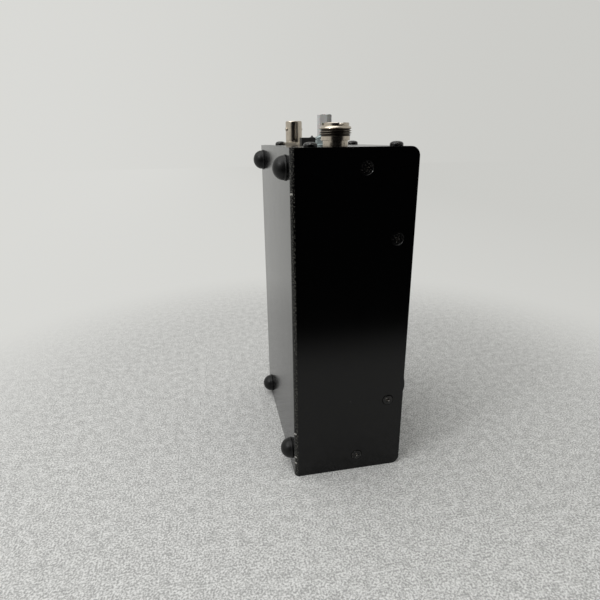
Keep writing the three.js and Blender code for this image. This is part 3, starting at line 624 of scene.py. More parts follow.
black_oxide = Finish("black_oxide", {"IOR": 1.42})
oxide_y, oxide_z = black_oxide.axes(black_oxide.place())[1:]
in_recess = black_oxide.rise(abs(oxide_y), WIDTH / 2 - 0.15 * MM, WIDTH / 2 - 0.5 * MM)
in_recess = in_recess * black_oxide.rise(oxide_z, LENGTH, LENGTH - 2 * MM)
oxide_wear = black_oxide.rise(black_oxide.noise(0.6, 4) + in_recess * 0.30, 0.60, 0.70)
black_oxide.tint(oxide_wear, (0.002, 0.002, 0.0022), (0.42, 0.40, 0.37))
black_oxide.wire("Metallic", oxide_wear * 0.95)
black_oxide.wire("Roughness", 0.15 + black_oxide.noise(0.5, 2) * 0.12)
black_oxide.emboss(black_oxide.noise(0.45, 2), 0.03, 0.7)

flat_screw = turned("flat_screw", [
    (0, -5.5), (1.2, -5.5), (1.5, -5.1), (1.5, -1.6), (2.82, -0.22), (2.82, -0.04), (1.9, 0), (0, 0),
], 40)
cross_recess(flat_screw, 0, 1.5, 1.75, 0.8)
round_edges(flat_screw, 0.075 * MM)
smooth(flat_screw, 40)
flat_turns = [0.35, 1.2, 0.8, 0.15, 1.0, 0.5, 0.25, 1.35]
flat_places = [
    side_place(screw) @ Matrix.Rotation(turn, 4, "Z") for screw, turn in zip(side_screws, flat_turns)
]
repeat(flat_screw, numbered("flat_head", 8), side_screws, flat_places, black_oxide, "black_screw")

pan_profile = [(0, -7.6), (1.2, -7.6), (1.5, -7.2), (1.5, 0), (3.15, 0), (3.25, 0.2), (3.22, 0.8)]
for step in range(1, 9):
    bow = QUARTER * step / 8
    pan_profile.append((3.22 * math.cos(bow) ** 0.8 if step < 8 else 0, 0.8 + 1.38 * math.sin(bow)))
pan_screw = turned("pan_screw", pan_profile, 40)
cross_recess(pan_screw, 2.2, 1.7, 1.8, 0.8)
round_edges(pan_screw, 0.06 * MM)
smooth(pan_screw, 40)
pan_turns = [0.3, 1.1, 0.7, 0.2]
pan_places = [
    panel_spot(screw) @ Matrix.Rotation(turn, 4, "Z") for screw, turn in zip(panel_screws, pan_turns)
]
repeat(pan_screw, numbered("pan_head", 4), panel_screws, pan_places, black_oxide, "black_screw")


# ---- Board and standoffs ----
# A glass-fibre board with green solder mask hangs behind the connector panel on four hexagonal brass
# standoffs. The panel screws run down into them, and the centre pin of the large socket comes through it.

STANDOFF_FLATS = 5.2
STANDOFF_LENGTH = 9.0
BOARD_TOP = -(SHEET / MM + STANDOFF_LENGTH)


def drilled(piece, radius, low, high, place=Matrix.Identity(4)):
    """Drills a round hole along Z, in millimetres."""
    hole = turned("hole", [(0, low - 1), (radius, low - 1), (radius, high + 1), (0, high + 1)], 40)
    cut(piece, settle(hole, place))
    return piece


def hexagon(name, flats, low, high, bore=None):
    """A bored hexagonal bar standing along Z with corners to the sides, in millimetres."""
    piece = start("cylinder", name, vertices=6, radius=flats / math.sqrt(3) * MM, depth=(high - low) * MM)
    settle(piece, Matrix.Translation((0, 0, (low + high) / 2 * MM)))
    return drilled(piece, bore, low, high) if bore else piece


def chamfered(name, flats, low, high, bore, drop):
    """A hexagonal bar with its corners turned off by a cone that meets its top just inside the flats."""
    piece = hexagon(name, flats, low, high, bore)
    outer = flats / math.sqrt(3) + 1
    slope = 1.6 * drop
    tip = flats - 0.2 - outer
    blank = turned("blank", [
        (0, low - 1), (outer, low - 1), (outer, high - slope), (tip, high + slope), (0, high + slope),
    ], 48)
    cut(piece, blank, "INTERSECT")
    return piece


brass = Finish("brass", {"Metallic": 1.0})
brass_film = brass.noise(1.8, 4)
brass.tint(brass_film, (0.78, 0.58, 0.27), (0.58, 0.38, 0.15))
brass.wire("Roughness", 0.20 + brass.noise(0.5, 3) * 0.22)
brass.emboss(brass.noise(0.3, 2, brass.place((1, 1, 5))), 0.008, 0.5)

standoff_model = hexagon("standoff_model", STANDOFF_FLATS, BOARD_TOP, -SHEET / MM, 1.8)
round_edges(standoff_model, 0.15 * MM)
standoffs = numbered("standoff", 4)
standoff_places = [panel_spot(node) for node in standoffs]
repeat(standoff_model, numbered("brass_standoff", 4), standoffs, standoff_places, brass, "brass")

solder_mask = Finish("solder_mask", {"IOR": 1.55, "Coat Weight": 0.4, "Coat Roughness": 0.15})
track = solder_mask.rise(abs(solder_mask.noise(11, 0, solder_mask.place((1, 0.25, 1))) - 0.5), 0.035, 0.028)
weave = solder_mask.cells(0.9)
mask_green = solder_mask.mix(track, (0.012, 0.085, 0.035, 1), (0.03, 0.17, 0.06, 1))
solder_mask.wire("Base Color", solder_mask.mix(weave * 0.25, mask_green, (0.02, 0.11, 0.05, 1)))
solder_mask.wire("Roughness", 0.28 + solder_mask.noise(2, 3) * 0.12)
solder_mask.emboss(track + weave * 0.2, 0.03, 0.6)
board_low, board_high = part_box("connector_board")
board = block("green_board", board_low, board_high)
drilled(board, 1.4, -13, -9, panel_spot("uhf_contact"))
for node in standoffs:
    drilled(board, 1.6, -13, -9, panel_spot(node))
round_edges(board, 0.12 * MM)
stands_for(board, solder_mask, "circuit_board", "case", "connector_board")


# ---- Large socket ----
# A turned, nickel-plated socket: a plain foot, a wider neck, a short thread, and a notched rim. A
# white insulator holds the slotted brass centre contact, and one nut clamps it behind the panel.

THREAD_START = math.radians(1.3)


def thread(name, root, crest, low, pitch, turns):
    """A helical thread: a small tooth is drawn beside the axis and screwed up round it."""
    base, foot, tip = root - 0.15, 0.44 * pitch, 0.06 * pitch
    piece = drawn(name, [
        (base, low - foot), (crest, low - tip), (crest, low + tip), (base, low + foot),
        (base, low - foot),
    ])
    bpy.ops.mesh.remove_doubles(threshold=MM / 500)
    close_edit()
    settle(piece)
    apply(piece, "SCREW", angle=4 * QUARTER, screw_offset=pitch * MM, iterations=turns, steps=48,
          render_steps=48, use_merge_vertices=False)
    edit(piece)
    take_all()
    bpy.ops.mesh.fill_holes(sides=0)
    take_all()
    bpy.ops.mesh.normals_make_consistent(inside=False)
    close_edit()
    return settle(piece, Matrix.Rotation(THREAD_START, 4, "Z"))


def slot_across(piece, angle, width, reach, low, high):
    """Saws a slot from the axis outwards, in millimetres."""
    saw = start("cube", "saw", size=1)
    saw.scale = (reach * MM, width * MM, (high - low) * MM)
    saw.location = (reach / 2 * MM, 0, (low + high) / 2 * MM)
    cut(piece, settle(settle(saw), Matrix.Rotation(math.radians(angle), 4, "Z")))


def nickel_plate(name, shaded_thread=None):
    """Warm nickel plating. Painted shade darkens and roughens the roots of a thread whose middle, crest,
    foot and top the second argument gives.
    """
    finish = Finish(name, {"Metallic": 1.0})
    film = finish.noise(2.2, 4)
    colour = finish.mix(film, (0.60, 0.54, 0.46, 1), (0.42, 0.37, 0.305, 1))
    roughness = 0.13 + finish.noise(0.6, 3) * 0.15
    if shaded_thread:
        middle, crest, low, high = shaded_thread
        height = finish.axes(finish.place())[2]
        spot = {0: finish.place((1, 1, 0)), 1: middle}
        from_axis = finish.node("ShaderNodeVectorMath", {"operation": "SUBTRACT"}, spot)
        radius = finish.node("ShaderNodeVectorMath", {"operation": "LENGTH"}, {0: from_axis}, "Value")
        # Painted shade: the thread's roots, below its crest and between its foot and top, are darkened and
        # made rougher.
        root_shade = finish.rise(radius, crest, crest - 0.35 * MM) * finish.rise(height, low, low + 0.1 * MM)
        root_shade = root_shade * finish.rise(height, high, high - 0.1 * MM)
        colour = finish.mix(root_shade * 0.92, colour, (0.035, 0.028, 0.022, 1))
        roughness = roughness + root_shade * 0.3
    finish.wire("Base Color", colour)
    finish.wire("Roughness", roughness)
    finish.emboss(finish.noise(0.35, 2, finish.place((0.3, 0.3, 3))), 0.006, 0.5)
    return finish


nickel = nickel_plate("nickel")

white_insulator = Finish("white_insulator", {
    "IOR": 1.38, "Subsurface Weight": 0.15, "Subsurface Scale": 0.002,
})
insulator_cloud = white_insulator.noise(2.5, 3)
white_insulator.tint(insulator_cloud, (0.80, 0.78, 0.73), (0.68, 0.65, 0.58))
white_insulator.wire("Roughness", 0.30 + white_insulator.noise(0.6, 2) * 0.2)
white_insulator.emboss(white_insulator.noise(0.3, 2, white_insulator.place((1, 1, 4))), 0.01, 0.4)

large_socket_at = panel_spot("uhf_shell")
large_socket = turned("large_socket_shell", [
    (4.2, -6.6), (5.25, -6.6), (5.3, -6.5), (5.3, 0), (6.15, 0), (6.25, 0.1), (6.25, 2.6), (7.05, 2.6),
    (7.15, 2.7), (7.15, 4.55), (6.95, 4.75), (6.95, 7.7), (7.72, 7.95), (7.82, 8.1), (7.76, 8.45),
    (7.35, 9.05), (6.72, 9.25), (6.7, 10.5), (6.52, 10.7), (6.05, 10.7), (5.9, 10.5), (5.9, 2.7),
    (4.2, 2.7), (4.2, -6.6),
], 96)
cut(large_socket, thread("large_socket_thread", 6.95, 7.95, 5.1, 1.0, 2), "UNION")
for angle in (10, 100, 190, 280):
    slot_across(large_socket, angle, 2.5, 9, 9.6, 12)
round_edges(large_socket, 0.07 * MM, 2, 45)
socket_middle = Vector((large_socket_at.translation.x, large_socket_at.translation.y, 0))
# The large socket's thread gets painted shade in its roots.
threaded_nickel = nickel_plate("threaded_nickel", (
    socket_middle, 7.85 * MM, LENGTH + 4.5 * MM, LENGTH + 7.9 * MM,
))
fit(large_socket, large_socket_at, threaded_nickel, "nickel", "case", "uhf_shell", 40)

large_insulator = turned("large_socket_insulator", [
    (2.7, -6.6), (3.9, -6.6), (3.9, 2.7), (5.6, 2.7), (5.6, 5.2), (5.3, 5.6), (3.4, 5.6), (3.2, 5.3),
    (2.9, 5.3), (2.7, 5.1), (2.7, -6.6),
], 64)
fit(large_insulator, large_socket_at, white_insulator, "white_insulator", "case", "uhf_insulator")

large_contact = turned("large_socket_contact", [
    (0, -12.2), (1.0, -12.2), (1.1, -12), (1.1, -6.6), (2.4, -6.6), (2.4, 6.6), (2.2, 7), (2.05, 7),
    (1.95, 6.8), (1.95, -2), (0, -2),
], 48)
for angle in (20, 110, 200, 290):
    slot_across(large_contact, angle, 0.35, 3, 1.5, 8)
fit(large_contact, large_socket_at, brass, "brass", "case", "uhf_contact")

large_nut = hexagon("large_socket_nut", 16, -3.8, -SHEET / MM, 5.6)
round_edges(large_nut, 0.25 * MM)
stands_for(settle(large_nut, large_socket_at), nickel, "nickel", "case", "uhf_nut")


# ---- Bayonet socket ----
# A smaller nickel-plated socket: a smooth barrel with two round lugs for the plug's bayonet ring, held by
# a thin hexagonal nut against the panel, with a white insulator and a hollow contact inside.

small_socket_at = panel_spot("bnc_nut")
small_socket = turned("bayonet_shell", [
    (4.05, -10.6), (5.6, -10.6), (5.6, -3.6), (7, -3.6), (7, -1.6), (4.95, -1.6), (4.95, 2.1),
    (4.85, 2.2), (4.85, 2.5), (4.95, 2.6), (4.95, 12.9), (4.8, 13.2), (4.75, 13.45), (4.6, 13.6),
    (4.25, 13.6), (4.05, 13.35), (4.05, -10.6),
], 80)
for side in (0, 2):
    lug = turned("lug", [(0, 4.4), (0.95, 4.4), (0.95, 5.35), (0.8, 5.5), (0, 5.5)], 32)
    tip_over = Matrix.Rotation(math.radians(18) + side * QUARTER, 4, "Z") @ Matrix.Rotation(QUARTER, 4, "Y")
    cut(small_socket, settle(lug, Matrix.Translation((0, 0, 9.1 * MM)) @ tip_over), "UNION")
fit(small_socket, small_socket_at, nickel, "nickel", "case", "bnc_shell", 40)

small_insulator = turned("bayonet_insulator", [
    (1.4, -10.6), (3.75, -10.6), (3.75, 4), (2.6, 4), (2.5, 4.2), (2.5, 11.7), (2.3, 12), (1.6, 12),
    (1.4, 11.8), (1.4, -10.6),
], 56)
fit(small_insulator, small_socket_at, white_insulator, "white_insulator", "case", "bnc_insulator")

small_contact = turned("bayonet_contact", [
    (0, -10.6), (1.05, -10.6), (1.1, -10.4), (1.1, 11.3), (1.0, 11.6), (0.7, 11.6), (0.6, 11.4),
    (0.6, 4), (0, 4),
], 32)
for angle in (40, 220):
    slot_across(small_contact, angle, 0.2, 2, 7, 13)
fit(small_contact, small_socket_at, brass, "brass", "case", "bnc_contact")

small_nut = chamfered("bayonet_nut", 12.4, 0, 1.7, 5.1, 0.3)
round_edges(small_nut, 0.08 * MM)
fit(small_nut, small_socket_at, nickel, "nickel", "case", "bnc_nut", 30)


# ---- Binding post ----
# A nickel-plated stud in a black insulating bush, with a plain washer and a long hexagonal cap of grey
# plastic that screws down on the wire. The washer lifts with the cap.

black_plastic = Finish("black_plastic", {"IOR": 1.47})
plastic_cloud = black_plastic.noise(3, 3)
black_plastic.tint(plastic_cloud, (0.010, 0.010, 0.011), (0.018, 0.018, 0.019))
black_plastic.wire("Roughness", 0.34 + black_plastic.noise(0.8, 3) * 0.16)
black_plastic.emboss(black_plastic.noise(0.22, 3), 0.012, 0.6)

grey_plastic = Finish("grey_plastic", {"IOR": 1.46, "Subsurface Weight": 0.1, "Subsurface Scale": 0.001})
grey_cloud = grey_plastic.noise(3.5, 4)
grey_plastic.tint(grey_cloud, (0.60, 0.60, 0.59), (0.52, 0.52, 0.51))
grey_plastic.wire("Roughness", 0.45 + grey_plastic.noise(0.7, 2) * 0.15)
grey_plastic.emboss(grey_plastic.noise(0.3, 3, grey_plastic.place((1, 1, 0.4))), 0.015, 0.6)

post_at = panel_spot("post_bush")
post_bush = turned("post_bushing", [
    (2.3, -2.6), (3.1, -2.6), (3.2, -2.5), (3.2, 0), (4.9, 0), (5, 0.1), (5, 1.2), (4.7, 1.5),
    (2.5, 1.5), (2.3, 1.3), (2.3, -2.6),
], 56)
fit(post_bush, post_at, black_plastic, "black_plastic", "case", "post_bush")

post_stud = turned("post_threaded_stud", [
    (0, -5), (3.6, -5), (3.8, -4.8), (3.8, -2.6), (1.7, -2.6), (1.7, 12.1), (1.4, 12.4), (0, 12.4),
], 48)
cut(post_stud, thread("post_thread", 1.7, 2.0, 1.0, 0.7, 15), "UNION")
fit(post_stud, post_at, nickel, "nickel", "case", "post_stud")

post_washer = turned("post_plain_washer", [
    (2.3, 1.55), (4.3, 1.5), (4.4, 1.6), (4.4, 2.2), (4.3, 2.3), (2.35, 2.3), (2.3, 2.25), (2.3, 1.55),
], 56)
fit(post_washer, post_at, nickel, "nickel", "post_washer", "post_washer")

CAP_TURN = math.radians(7)
post_cap = chamfered("post_hexagon_cap", 6.8, 2.3, 15.9, None, 0.55)
cut(post_cap, turned("thread_hole", [(0, 1), (2.3, 1), (2.3, 13), (0, 13.9)], 32))
round_edges(post_cap, 0.12 * MM, 2, 25)
cap_at = post_at @ Matrix.Rotation(CAP_TURN, 4, "Z")
fit(post_cap, cap_at, grey_plastic, "grey_plastic", "post_cap", "post_cap", 20)


# ---- Ground terminal ----
# A short zinc-plated stud through the panel with a flat washer and a hexagonal nut that is domed above,
# to clamp a ground wire. The washer lifts with the nut.

zinc = Finish("zinc", {"Metallic": 1.0})
zinc.tint(zinc.noise(1.6, 3), (0.46, 0.53, 0.54), (0.32, 0.38, 0.39))
zinc.wire("Roughness", 0.32 + zinc.noise(0.5, 3) * 0.18)
zinc.emboss(zinc.noise(0.3, 3), 0.01, 0.5)

ground_at = panel_spot("ground_stud")
ground_stud = turned("ground_threaded_stud", [
    (0, -4), (3.4, -4), (3.6, -3.8), (3.6, -1.6), (1.65, -1.6), (1.65, 5.3), (1.35, 5.6), (0, 5.6),
], 48)
cut(ground_stud, thread("ground_thread", 1.65, 1.95, -1.0, 0.7, 8), "UNION")
fit(ground_stud, ground_at, zinc, "zinc", "case", "ground_stud")

ground_washer = turned("ground_flat_washer", [
    (2.25, 0.05), (4.3, 0), (4.4, 0.1), (4.4, 0.7), (4.3, 0.8), (2.3, 0.8), (2.25, 0.75), (2.25, 0.05),
], 48)
fit(ground_washer, ground_at, zinc, "zinc", "ground_washer", "ground_washer")

ground_nut = hexagon("ground_hexagon_nut", 6.5, 0.83, 5.2, 2.25)
nut_blank = turned("nut_blank", [
    (0, 0.7), (3.6, 0.7), (3.8, 1.0), (3.8, 2.9), (2.95, 3.0), (2.95, 3.3), (3.8, 3.4), (3.6, 4.1),
    (3.0, 4.65), (2.6, 4.8), (0, 4.8),
], 48)
cut(ground_nut, nut_blank, "INTERSECT")
round_edges(ground_nut, 0.06 * MM)
fit(ground_nut, ground_at, zinc, "zinc", "ground_nut", "ground_nut", 30)


# ---- Slide switch ----
# A black plastic slide switch soldered to the board behind, its top standing through a window in the panel.
# A small nub stands up out of the slot in its top.

slide_at = panel_spot("slide_switch_body")
slide_body = block("slide_switch_case", slide_low, slide_high)
slot_cut = block("slot_cut", (-3.25 * MM, -1.4 * MM, 1.8 * MM), (3.25 * MM, 1.4 * MM, 6 * MM))
cut(slide_body, settle(slot_cut, slide_at))
round_edges(slide_body, 0.2 * MM, 3)
smooth(slide_body, 40)
stands_for(slide_body, black_plastic, "black_plastic", "case", "slide_switch_body")

nub_low, nub_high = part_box("slide_switch_slider")
nub_middle = (nub_low + nub_high) / 2
slider = block("slide_switch_nub", nub_low, (nub_high.x, nub_high.y, LENGTH + 4.4 * MM))
grip_low = (nub_middle.x - 0.75 * MM, nub_low.y + 0.3 * MM, nub_middle.z)
grip_high = (nub_middle.x + 0.75 * MM, nub_high.y - 0.3 * MM, nub_high.z)
grip = block("grip", grip_low, grip_high)
edit(grip)
select(grip, "faces", lambda centre, part: part.normal.z > 0.5)
bpy.ops.transform.resize(value=(0.45, 0.9, 1))
close_edit()
cut(slider, grip, "UNION")
round_edges(slider, 0.12 * MM)
smooth(slider, 40)
stands_for(slider, black_plastic, "black_plastic", "slide_switch_slider", "slide_switch_slider")


# ---- Variable capacitors ----
# Two small air-spaced capacitors behind the control panel: aluminium end plates, a fixed stack and a
# turning stack of half discs. Each threaded bush stands through the panel and is held by a nut.

satin_aluminium = Finish("satin_aluminium", {"Metallic": 1.0})
rolled = satin_aluminium.noise(0.5, 4, satin_aluminium.place((1, 0.08, 1)))
oxide = satin_aluminium.noise(6, 3)
satin_aluminium.tint(oxide, (0.66, 0.67, 0.68), (0.50, 0.51, 0.52))
satin_aluminium.wire("Roughness", 0.26 + rolled * 0.18)
satin_aluminium.emboss(rolled, 0.01, 0.5)


def dress(finish, *nodes):
    """Gives CAD nodes that keep their shape their finish."""
    finish.on(*(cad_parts[node] for node in nodes))


for side in ("tune", "load"):
    dress(satin_aluminium, *(f"{side}_capacitor_{part}" for part in ("frame", "stator", "rotor")))
bush_nut = chamfered("bush_nut_model", 12, 0, 2, BUSH_HOLE, 0.3)
round_edges(bush_nut, 0.1 * MM)
smooth(bush_nut, 30)
bush_nuts = ["tune_capacitor_nut", "load_capacitor_nut", "selector_nut"]
nut_names = ["tune_bush_nut", "load_bush_nut", "selector_bush_nut"]
nut_places = [control_spot(node) for node in bush_nuts]
repeat(bush_nut, nut_names, bush_nuts, nut_places, nickel, "nickel")


# ---- Selector and coil ----
# A twelve-position rotary switch in a round white housing. A ring core of red iron powder sits behind it
# under one layer of enamelled copper wire, tapped for the positions.

dress(white_insulator, "selector_body")
dress(satin_aluminium, "selector_shaft")
selector_at = control_spot("selector_knob")
CORE_INNER, CORE_OUTER = 7.2, 13.5
CORE_LOW, CORE_HIGH = -30.0, -19.0
WIRE = 1.1
WIRE_ROOM = 1.7
COIL_TURNS = 25
COIL_START, COIL_SWEEP = 30, 300

iron_powder = Finish("iron_powder", {"IOR": 1.5})
powder_speck = iron_powder.noise(0.5, 4)
iron_powder.tint(powder_speck, (0.30, 0.022, 0.016), (0.44, 0.04, 0.026))
iron_powder.wire("Roughness", 0.42 + powder_speck * 0.2)
iron_powder.emboss(powder_speck, 0.05, 0.6)
coil_core = turned("coil_ring_core", [
    (CORE_INNER, CORE_LOW + 0.8), (CORE_INNER + 0.8, CORE_LOW), (CORE_OUTER - 0.8, CORE_LOW),
    (CORE_OUTER, CORE_LOW + 0.8), (CORE_OUTER, CORE_HIGH - 0.8), (CORE_OUTER - 0.8, CORE_HIGH),
    (CORE_INNER + 0.8, CORE_HIGH), (CORE_INNER, CORE_HIGH - 0.8), (CORE_INNER, CORE_LOW + 0.8),
], 72)
round_edges(coil_core, 0.3 * MM, 2, 30)
fit(coil_core, selector_at, iron_powder, "iron_powder", "case", "coil_core", 50)


def joined(name, pieces):
    """Joins pieces into one object."""
    bpy.ops.object.select_all(action="DESELECT")
    for piece in pieces:
        piece.select_set(True)
    bpy.context.view_layer.objects.active = pieces[0]
    bpy.ops.object.join()
    pieces[0].name = name
    pieces[0].data.name = name
    return pieces[0]


enamelled_copper = Finish("enamelled_copper", {"Metallic": 1.0, "Coat Weight": 0.8, "Coat Roughness": 0.1})
enamel = enamelled_copper.noise(2, 3)
enamelled_copper.tint(enamel, (0.70, 0.27, 0.11), (0.50, 0.16, 0.06))
enamelled_copper.wire("Roughness", 0.20 + enamel * 0.15)
enamelled_copper.emboss(enamelled_copper.noise(0.5, 2), 0.01, 0.4)
coil_turn = start("plane", "coil_turn", size=1)
coil_turn.scale = ((CORE_OUTER - CORE_INNER + WIRE_ROOM) * MM, (CORE_HIGH - CORE_LOW + WIRE_ROOM) * MM, 1)
settle(coil_turn, Matrix.Rotation(QUARTER, 4, "X"))
edit(coil_turn)
take_all()
bpy.ops.mesh.bevel(offset=1.3 * MM, segments=4, affect="VERTICES")
take_all()
bpy.ops.mesh.delete(type="ONLY_FACE")
close_edit()
bpy.ops.object.convert(target="CURVE")
coil_turn = bpy.context.object
coil_turn.data.bevel_depth = (WIRE - 0.15) / 2 * MM
coil_turn.data.bevel_resolution = 2
bpy.ops.object.convert(target="MESH")
coil_turn = bpy.context.object
out_to_core = Matrix.Translation(((CORE_OUTER + CORE_INNER) / 2 * MM, 0, (CORE_HIGH + CORE_LOW) / 2 * MM))
settle(coil_turn, out_to_core @ Matrix.Rotation(math.radians(-3), 4, "X"))
turn_places = [
    selector_at @ Matrix.Rotation(math.radians(COIL_START + COIL_SWEEP * turn / (COIL_TURNS - 1)), 4, "Z")
    for turn in range(COIL_TURNS)
]
coil_winding = joined("coil_wire", copies(coil_turn, numbered("coil_turn", COIL_TURNS), turn_places))
smooth(coil_winding, 60)
stands_for(coil_winding, enamelled_copper, "copper", "case", "coil_winding")


# ---- Knobs ----
# Moulded black knobs with a low skirt, fluted above it, each with a white line let into its top. Set on
# the shafts of the two capacitors and the selector.

KNOB_FLOOR = 0.8
KNOB_BORE = 3.3
RECESS_TOP = 4.0
FLUTE = 0.62
POINTER_START = 2.0
POINTER_WIDTH = 0.9
POINTER_DEPTH = 0.7
POINTER_GAP = 0.05


def fluted_knob(name, skirt, waist, recess, height, flutes):
    """A knob on its own axis, hollow below, in millimetres."""
    roof = height - 2.2
    knob = turned(name, [
        (KNOB_BORE, RECESS_TOP), (recess, RECESS_TOP), (recess, KNOB_FLOOR), (skirt - 0.2, KNOB_FLOOR),
        (skirt, KNOB_FLOOR + 0.2), (skirt, KNOB_FLOOR + 1.5), (skirt - 0.25, KNOB_FLOOR + 1.8),
        (waist + 0.25, KNOB_FLOOR + 2.1), (waist, KNOB_FLOOR + 2.5), (waist - 0.05, height - 0.35),
        (waist - 0.35, height), (waist - 1.6, height), (waist - 1.9, height - 0.2), (0, height - 0.2),
        (0, roof), (KNOB_BORE, roof), (KNOB_BORE, RECESS_TOP),
    ], 96)
    flute = turned("flute", [
        (0, KNOB_FLOOR + 2.6), (FLUTE, KNOB_FLOOR + 2.8), (FLUTE, height + 1), (0, height + 1),
    ], 16)
    reach = Matrix.Translation(((waist + 0.25) * MM, 0, 0))
    rounds = [Matrix.Rotation(4 * QUARTER * step / flutes, 4, "Z") @ reach for step in range(flutes)]
    cut(knob, joined("flutes", copies(flute, numbered("flute", flutes), rounds)))
    groove = POINTER_WIDTH / 2 + POINTER_GAP
    groove_low = (-groove * MM, POINTER_START * MM, (height - POINTER_DEPTH) * MM)
    groove_high = (groove * MM, (waist + 1) * MM, (height + 1) * MM)
    cut(knob, block("groove", groove_low, groove_high))
    smooth(knob, 30)
    return knob


white_line = Finish("white_line", {"IOR": 1.5})
line_wear = white_line.noise(1.2, 3)
white_line.tint(line_wear, (0.78, 0.78, 0.76), (0.66, 0.65, 0.62))
white_line.wire("Roughness", 0.35 + line_wear * 0.2)
white_line.emboss(line_wear, 0.01, 0.4)

knob_rows = [
    ("tune", "tune_knob", "tune_shaft", (8.6, 7.9, 6.6, 11.3, 26), 0),
    ("load", "load_knob", "load_shaft", (8.6, 7.9, 6.6, 11.3, 26), 0),
    ("selector", "selector_knob", "selector_shaft", (12.0, 10.6, 9.0, 14.0, 36), -75),
]
for title, node, body, (skirt, waist, recess, height, flutes), turn in knob_rows:
    knob_at = control_spot(node) @ Matrix.Rotation(math.radians(turn), 4, "Z")
    knob = fluted_knob(f"{title}_fluted_knob", skirt, waist, recess, height, flutes)
    stands_for(settle(knob, knob_at), black_plastic, "black_plastic", body, node)
    pointer_start = (POINTER_START + POINTER_GAP) * MM
    pointer_low = (-POINTER_WIDTH / 2 * MM, pointer_start, (height - POINTER_DEPTH) * MM)
    pointer_high = (POINTER_WIDTH / 2 * MM, (waist - 0.35) * MM, (height - 0.1) * MM)
    pointer = block(f"{title}_pointer", pointer_low, pointer_high)
    edit(pointer)
    select(pointer, "edges", lambda centre, part: centre.y > 4 * MM and centre.z > 9 * MM and (
        abs(part.verts[0].co.x - part.verts[1].co.x) > MM / 2
    ))
    bpy.ops.mesh.bevel(offset=0.5 * MM, segments=2, affect="EDGES")
    close_edit()
    stands_for(settle(pointer, knob_at), white_line, "white_insulator", body)


# ---- Scales ----
# White lines and numbers printed on the control panel round the knobs: 0 to 10 over the half turn of each
# capacitor, and 1 to 12 round the selector.

LONG_MARK, SHORT_MARK = 1.7, 1.0
MARK_SIDE = 0.35 / 2 * MM
NUMBER_OUT = 3.6
NUMBER_TALL = 3.0


def printed_line(low, high):
    """One printed line running out along X."""
    return block("line", (low * MM, -MARK_SIDE, 0.005 * MM), (high * MM, MARK_SIDE, 0.05 * MM))


def printed_number(text):
    """A number lying face up on Z = 0, centred on the axis."""
    bpy.ops.object.select_all(action="DESELECT")
    bpy.ops.object.text_add()
    number = bpy.context.object
    number.data.body = text
    number.data.size = NUMBER_TALL * MM
    number.data.align_x = "CENTER"
    number.data.align_y = "CENTER"
    number.data.extrude = 0.022 * MM
    number.data.resolution_u = 4
    bpy.ops.object.convert(target="MESH")
    number = bpy.context.object
    edit(number)
    take_all()
    bpy.ops.mesh.remove_doubles(threshold=MM / 2000)
    close_edit()
    return settle(number, Matrix.Translation((0, 0, 0.028 * MM)))


def scale(name, node, first, last, marks, radius, numbers):
    """Lines and numbers from one angle to another, counted clockwise from the panel's +Y side."""
    at = control_spot(node)
    prints = []
    for mark in range(marks):
        turned_by = math.radians(first + (last - first) * mark / (marks - 1))
        out = Matrix.Rotation(QUARTER + turned_by, 4, "Z")
        text = numbers(mark)
        line = printed_line(radius, radius + (LONG_MARK if text else SHORT_MARK))
        prints.append(settle(line, at @ out))
        if text:
            spot = Matrix.Translation(out @ Vector(((radius + NUMBER_OUT) * MM, 0, 0)))
            prints.append(settle(printed_number(text), at @ spot @ Matrix.Rotation(QUARTER, 4, "Z")))
    stands_for(joined(name, prints), white_line, "white_insulator", "case")


def even_number(mark):
    """The even numbers from 0 to 10, one at every fourth mark."""
    return "" if mark % 4 else str(mark // 2)


for title in ("tune", "load"):
    scale(f"{title}_scale", f"{title}_knob", 180, 0, 21, 9.8, even_number)
scale("selector_scale", "selector_knob", 255, -75, 12, 13.2, lambda mark: str(mark + 1))


# ---- Toggle switch and lamp ----
# A nickel-plated toggle switch, its threaded bush held by a nut on the panel, and a small red indicator
# lamp pressed in from behind.

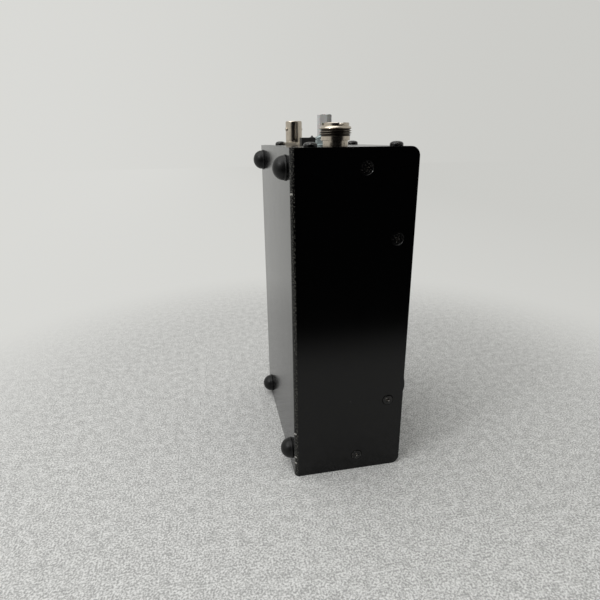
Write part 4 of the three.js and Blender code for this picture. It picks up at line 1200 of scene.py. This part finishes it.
toggle_at = control_spot("toggle_nut")
toggle_body = block("toggle_case", (-6.5 * MM, -4 * MM, -11.6 * MM), (6.5 * MM, 4 * MM, -1.6 * MM))
round_edges(toggle_body, 0.3 * MM)
bush = turned("toggle_bush", [(0, -3), (2.75, -3), (2.75, 5.2), (2.5, 5.5), (0, 5.5)], 48)
cut(bush, thread("toggle_thread", 2.75, 3.0, -1.2, 0.6, 10), "UNION")
cut(toggle_body, bush, "UNION")
drilled(toggle_body, 2.4, 1, 6)
fit(toggle_body, toggle_at, nickel, "nickel", "case", "toggle_body", 40)
toggle_nut = chamfered("toggle_hexagon_nut", 8, 0, 2, 3.3, 0.25)
round_edges(toggle_nut, 0.08 * MM)
fit(toggle_nut, toggle_at, nickel, "nickel", "case", "toggle_nut", 30)

lever = turned("toggle_bat_lever", [
    (0, -1.1), (0.7, -0.9), (1.1, -0.3), (1.1, 5.0), (1.2, 5.6), (1.55, 11.5), (1.85, 12.3),
    (2.0, 13.1), (2.0, 13.9), (1.75, 14.6), (1.2, 14.95), (0, 15),
], 40)
lean = Matrix.Translation((0, 0, 1.2 * MM)) @ Matrix.Rotation(math.radians(12), 4, "Y")
fit(lever, toggle_at @ lean, nickel, "nickel", "toggle_lever", "toggle_lever", 60)

red_lens = Finish("red_lens", {"IOR": 1.5, "Transmission Weight": 0.35, "Coat Weight": 0.5})
lens_depth = red_lens.noise(0.8, 2)
red_lens.tint(lens_depth, (0.55, 0.015, 0.01), (0.38, 0.008, 0.006))
red_lens.wire("Roughness", 0.10 + lens_depth * 0.08)
red_lens.emboss(lens_depth, 0.008, 0.3)
lens_profile = [(0, -2.6), (2.2, -2.6), (2.3, -2.5), (2.3, -1.6), (1.5, -1.6)]
for step in range(11):
    bow = QUARTER * step / 10
    lens_profile.append((1.5 * math.cos(bow) if step < 10 else 0, 1.3 + 1.5 * math.sin(bow)))
indicator = turned("red_indicator_lens", lens_profile, 40)
fit(indicator, control_spot("lamp"), red_lens, "red_lens", "case", "lamp", 50)
